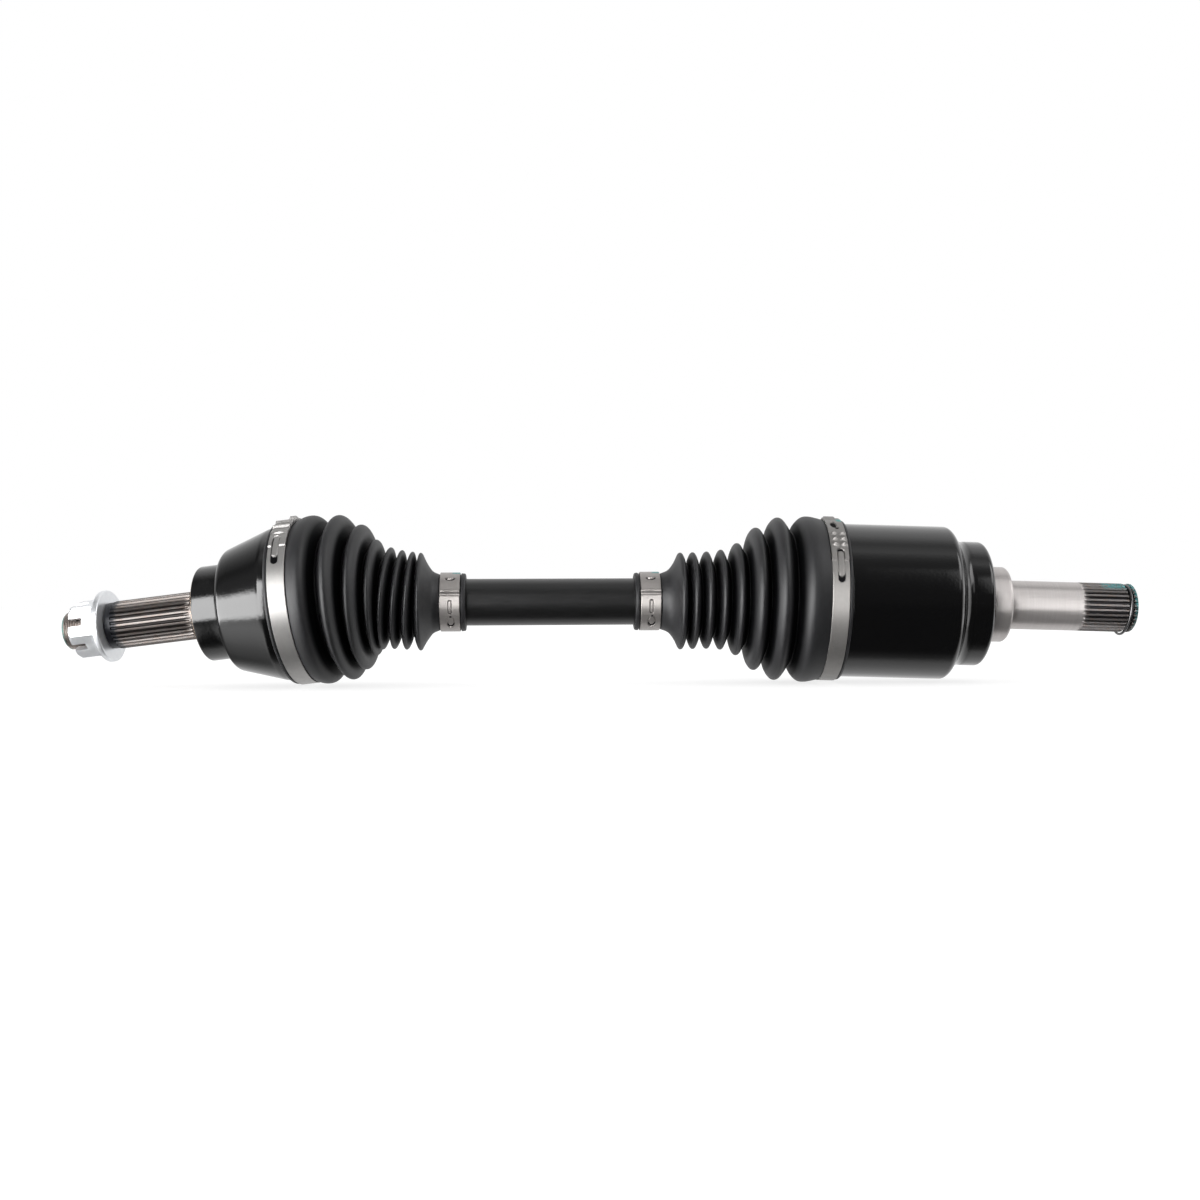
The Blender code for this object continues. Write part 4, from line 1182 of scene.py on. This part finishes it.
# ------------------------------------------------------------------ pieces that keep their shape
bearing_look = ground_steel("bearing_steel_look", base=(0.60, 0.60, 0.62), base_rough=0.14)
spring_look = ground_steel("spring_steel_look", base=(0.20, 0.20, 0.21), base_rough=0.26)
for name, obj in packed["nodes"].items():
    for words, look in ((("race", "cage", "ball"), bearing_look),
                        (("circlip", "stop_ring", "mouth_ring"), spring_look)):
        if any(word in name for word in words):
            obj.data.materials.clear()
            obj.data.materials.append(look)
            break

# ------------------------------------------------------------------ floor
FLOOR_HALF, FLOOR_GAP = 9.0, 0.0004           # metres


def floor_material():
    """A white diffuse floor that the camera sees as a dimmer one with a glow."""
    look = new_look("floor_look")
    path = look.node("ShaderNodeLightPath")
    diffuse = look.node("ShaderNodeBsdfDiffuse")
    look.put(diffuse.inputs["Color"], (0.86, 0.86, 0.86))
    glow = look.node("ShaderNodeEmission")
    look.put(glow.inputs["Color"], (1, 1, 1))
    look.put(glow.inputs["Strength"], 0.80)
    dim = look.node("ShaderNodeBsdfDiffuse")
    look.put(dim.inputs["Color"], (0.36, 0.36, 0.36))
    seen = look.node("ShaderNodeAddShader")
    look.put(seen.inputs[0], glow.outputs[0])
    look.put(seen.inputs[1], dim.outputs[0])
    pick = look.node("ShaderNodeMixShader")
    look.put(pick.inputs[0], path.outputs["Is Camera Ray"])
    look.put(pick.inputs[1], diffuse.outputs[0])
    look.put(pick.inputs[2], seen.outputs[0])
    look.put(look.tree.nodes["Material Output"].inputs["Surface"], pick.outputs[0])
    return look.owner


floor_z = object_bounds()[0].z - FLOOR_GAP
floor_mesh = bpy.data.meshes.new("floor")
floor_mesh.from_pydata([(x * FLOOR_HALF, y * FLOOR_HALF, floor_z)
                        for x, y in ((-1, -1), (1, -1), (1, 1), (-1, 1))], [], [(0, 1, 2, 3)])
floor = link_object("floor", floor_mesh)
floor.visible_glossy = False
floor_mesh.materials.append(floor_material())

# ------------------------------------------------------------------ world light
LEVEL_TOP = 3.0                               # brightness of a white ramp stop
# (degrees about X: 0 front, 90 up, 180 back; brightness in reflections)
LEVELS = [(-180, 0.95), (-125, 1.0), (-102, 0.85), (-92, 0.25), (-80, 0.07), (-10, 0.07),
          (0, 0.10), (25, 0.12), (43, 0.20), (56, 0.27), (62, 0.33), (70, 0.55), (77, 0.98),
          (84, 0.78), (93, 0.52), (103, 0.8), (112, 1.1), (180, 1.0)]
LEFT_LEVELS = [(-180, 0.5), (-144, 0.15), (-117, 0.3), (-94, 0.9), (-72, 1.9), (-56, 2.4),
               (-46, 2.2), (-36, 1.3), (-26, 0.4), (0, 0.3), (24, 0.5), (45, 0.37), (68, 0.33),
               (91, 0.14), (117, 0.5), (140, 0.9), (180, 1.0)]

world = bpy.data.worlds.new("studio")
bpy.context.scene.world = world
sky = Nodes(world)
to_x, to_y, to_z = sky.split(sky.node("ShaderNodeTexCoord").outputs["Generated"])
to_front = sky.times(to_y, -1.0)


def degrees(angle):
    return sky.times(angle, 180 / math.pi)


def level_curve(angle, stops):
    """Brightness by angle, straight between the stops."""
    node = sky.node("ShaderNodeValToRGB")
    ramp = node.color_ramp
    ramp.interpolation = "LINEAR"
    ramp.elements.remove(ramp.elements[-1])
    for i, (stop, level) in enumerate(stops):
        position = (stop + 180) / 360
        element = ramp.elements[0] if i == 0 else ramp.elements.new(position)
        element.position = position
        element.color = (*[level / LEVEL_TOP] * 3, 1)
    sky.put(node.inputs[0], sky.gain(angle, by=1 / 360, plus=0.5))
    return sky.times(node.outputs[0], LEVEL_TOP)


about_x = degrees(sky.math("ARCTAN2", to_z, to_front))
azimuth = degrees(sky.math("ARCTAN2", to_x, to_front))    # 0 front, positive towards +X
elevation = degrees(sky.math("ARCSINE", to_z))
light = sky.mix_value(sky.rise(to_x, start=-0.30, end=-0.52), level_curve(about_x, LEVELS),
                      level_curve(about_x, LEFT_LEVELS))
# bright patches: (extent across, extent up, added brightness)
for across, upward, strength in (
        (sky.band(azimuth, -43.0, -19.0, soft=3.0), sky.band(elevation, -17.0, 33.0, soft=4.0),
         12.0),
        (sky.band(azimuth, -92.0, -43.0, soft=3.0), sky.band(elevation, -17.8, 12.0, soft=3.5),
         11.2),
        (sky.band(azimuth, 22.0, 46.0, soft=3.0), sky.band(elevation, 18.0, 46.0, soft=4.0), 1.0),
        (sky.band(to_x, 0.50, 0.86, soft=0.06), sky.band(about_x, 42.0, 86.0, soft=6.0), 3.6),
        (sky.rise(to_x, start=0.90, end=0.96), sky.band(elevation, -50.0, 60.0, soft=6.0), 1.8)):
    light = sky.gain(sky.times(across, upward), by=strength, plus=light)
path = sky.node("ShaderNodeLightPath")
light = sky.mix_value(path.outputs["Is Glossy Ray"], low=0.85, high=light)
light = sky.mix_value(path.outputs["Is Camera Ray"], low=light, high=1.0)
background = sky.tree.nodes["Background"]
sky.put(background.inputs["Color"], (1, 1, 1))
sky.put(background.inputs["Strength"], light)

# ------------------------------------------------------------------ camera
VIEW_X = 177.8                                # aim point from the outboard centre, mm
CAMERA_OFFSET = [-44.07, -840.85, 0.94]       # from the aim point, mm
YAW, ROLL = math.radians(3.0), math.radians(0.28)

scene = bpy.context.scene
scene.view_settings.view_transform = "Standard"
scene.view_settings.look = "None"
camera_data = bpy.data.cameras.new("camera")
camera_data.sensor_width = 36.0
camera_data.lens = 43.2
camera_data.clip_start, camera_data.clip_end = 0.01, 50.0
camera = link_object("camera", camera_data)
forward = np.array([math.sin(YAW), math.cos(YAW), 0.0])
level_right = np.array([math.cos(YAW), -math.sin(YAW), 0.0])
level_up = np.array([0.0, 0.0, 1.0])
right = level_right * math.cos(ROLL) - level_up * math.sin(ROLL)
up = level_up * math.cos(ROLL) + level_right * math.sin(ROLL)
place = OUT_CENTRE + np.array([VIEW_X * MM, 0, 0]) + np.array(CAMERA_OFFSET) * MM
pose = np.eye(4)
pose[:3, :] = np.stack([right, up, -forward, place], 1)
camera.matrix_world = Matrix(pose.tolist())
scene.camera = camera
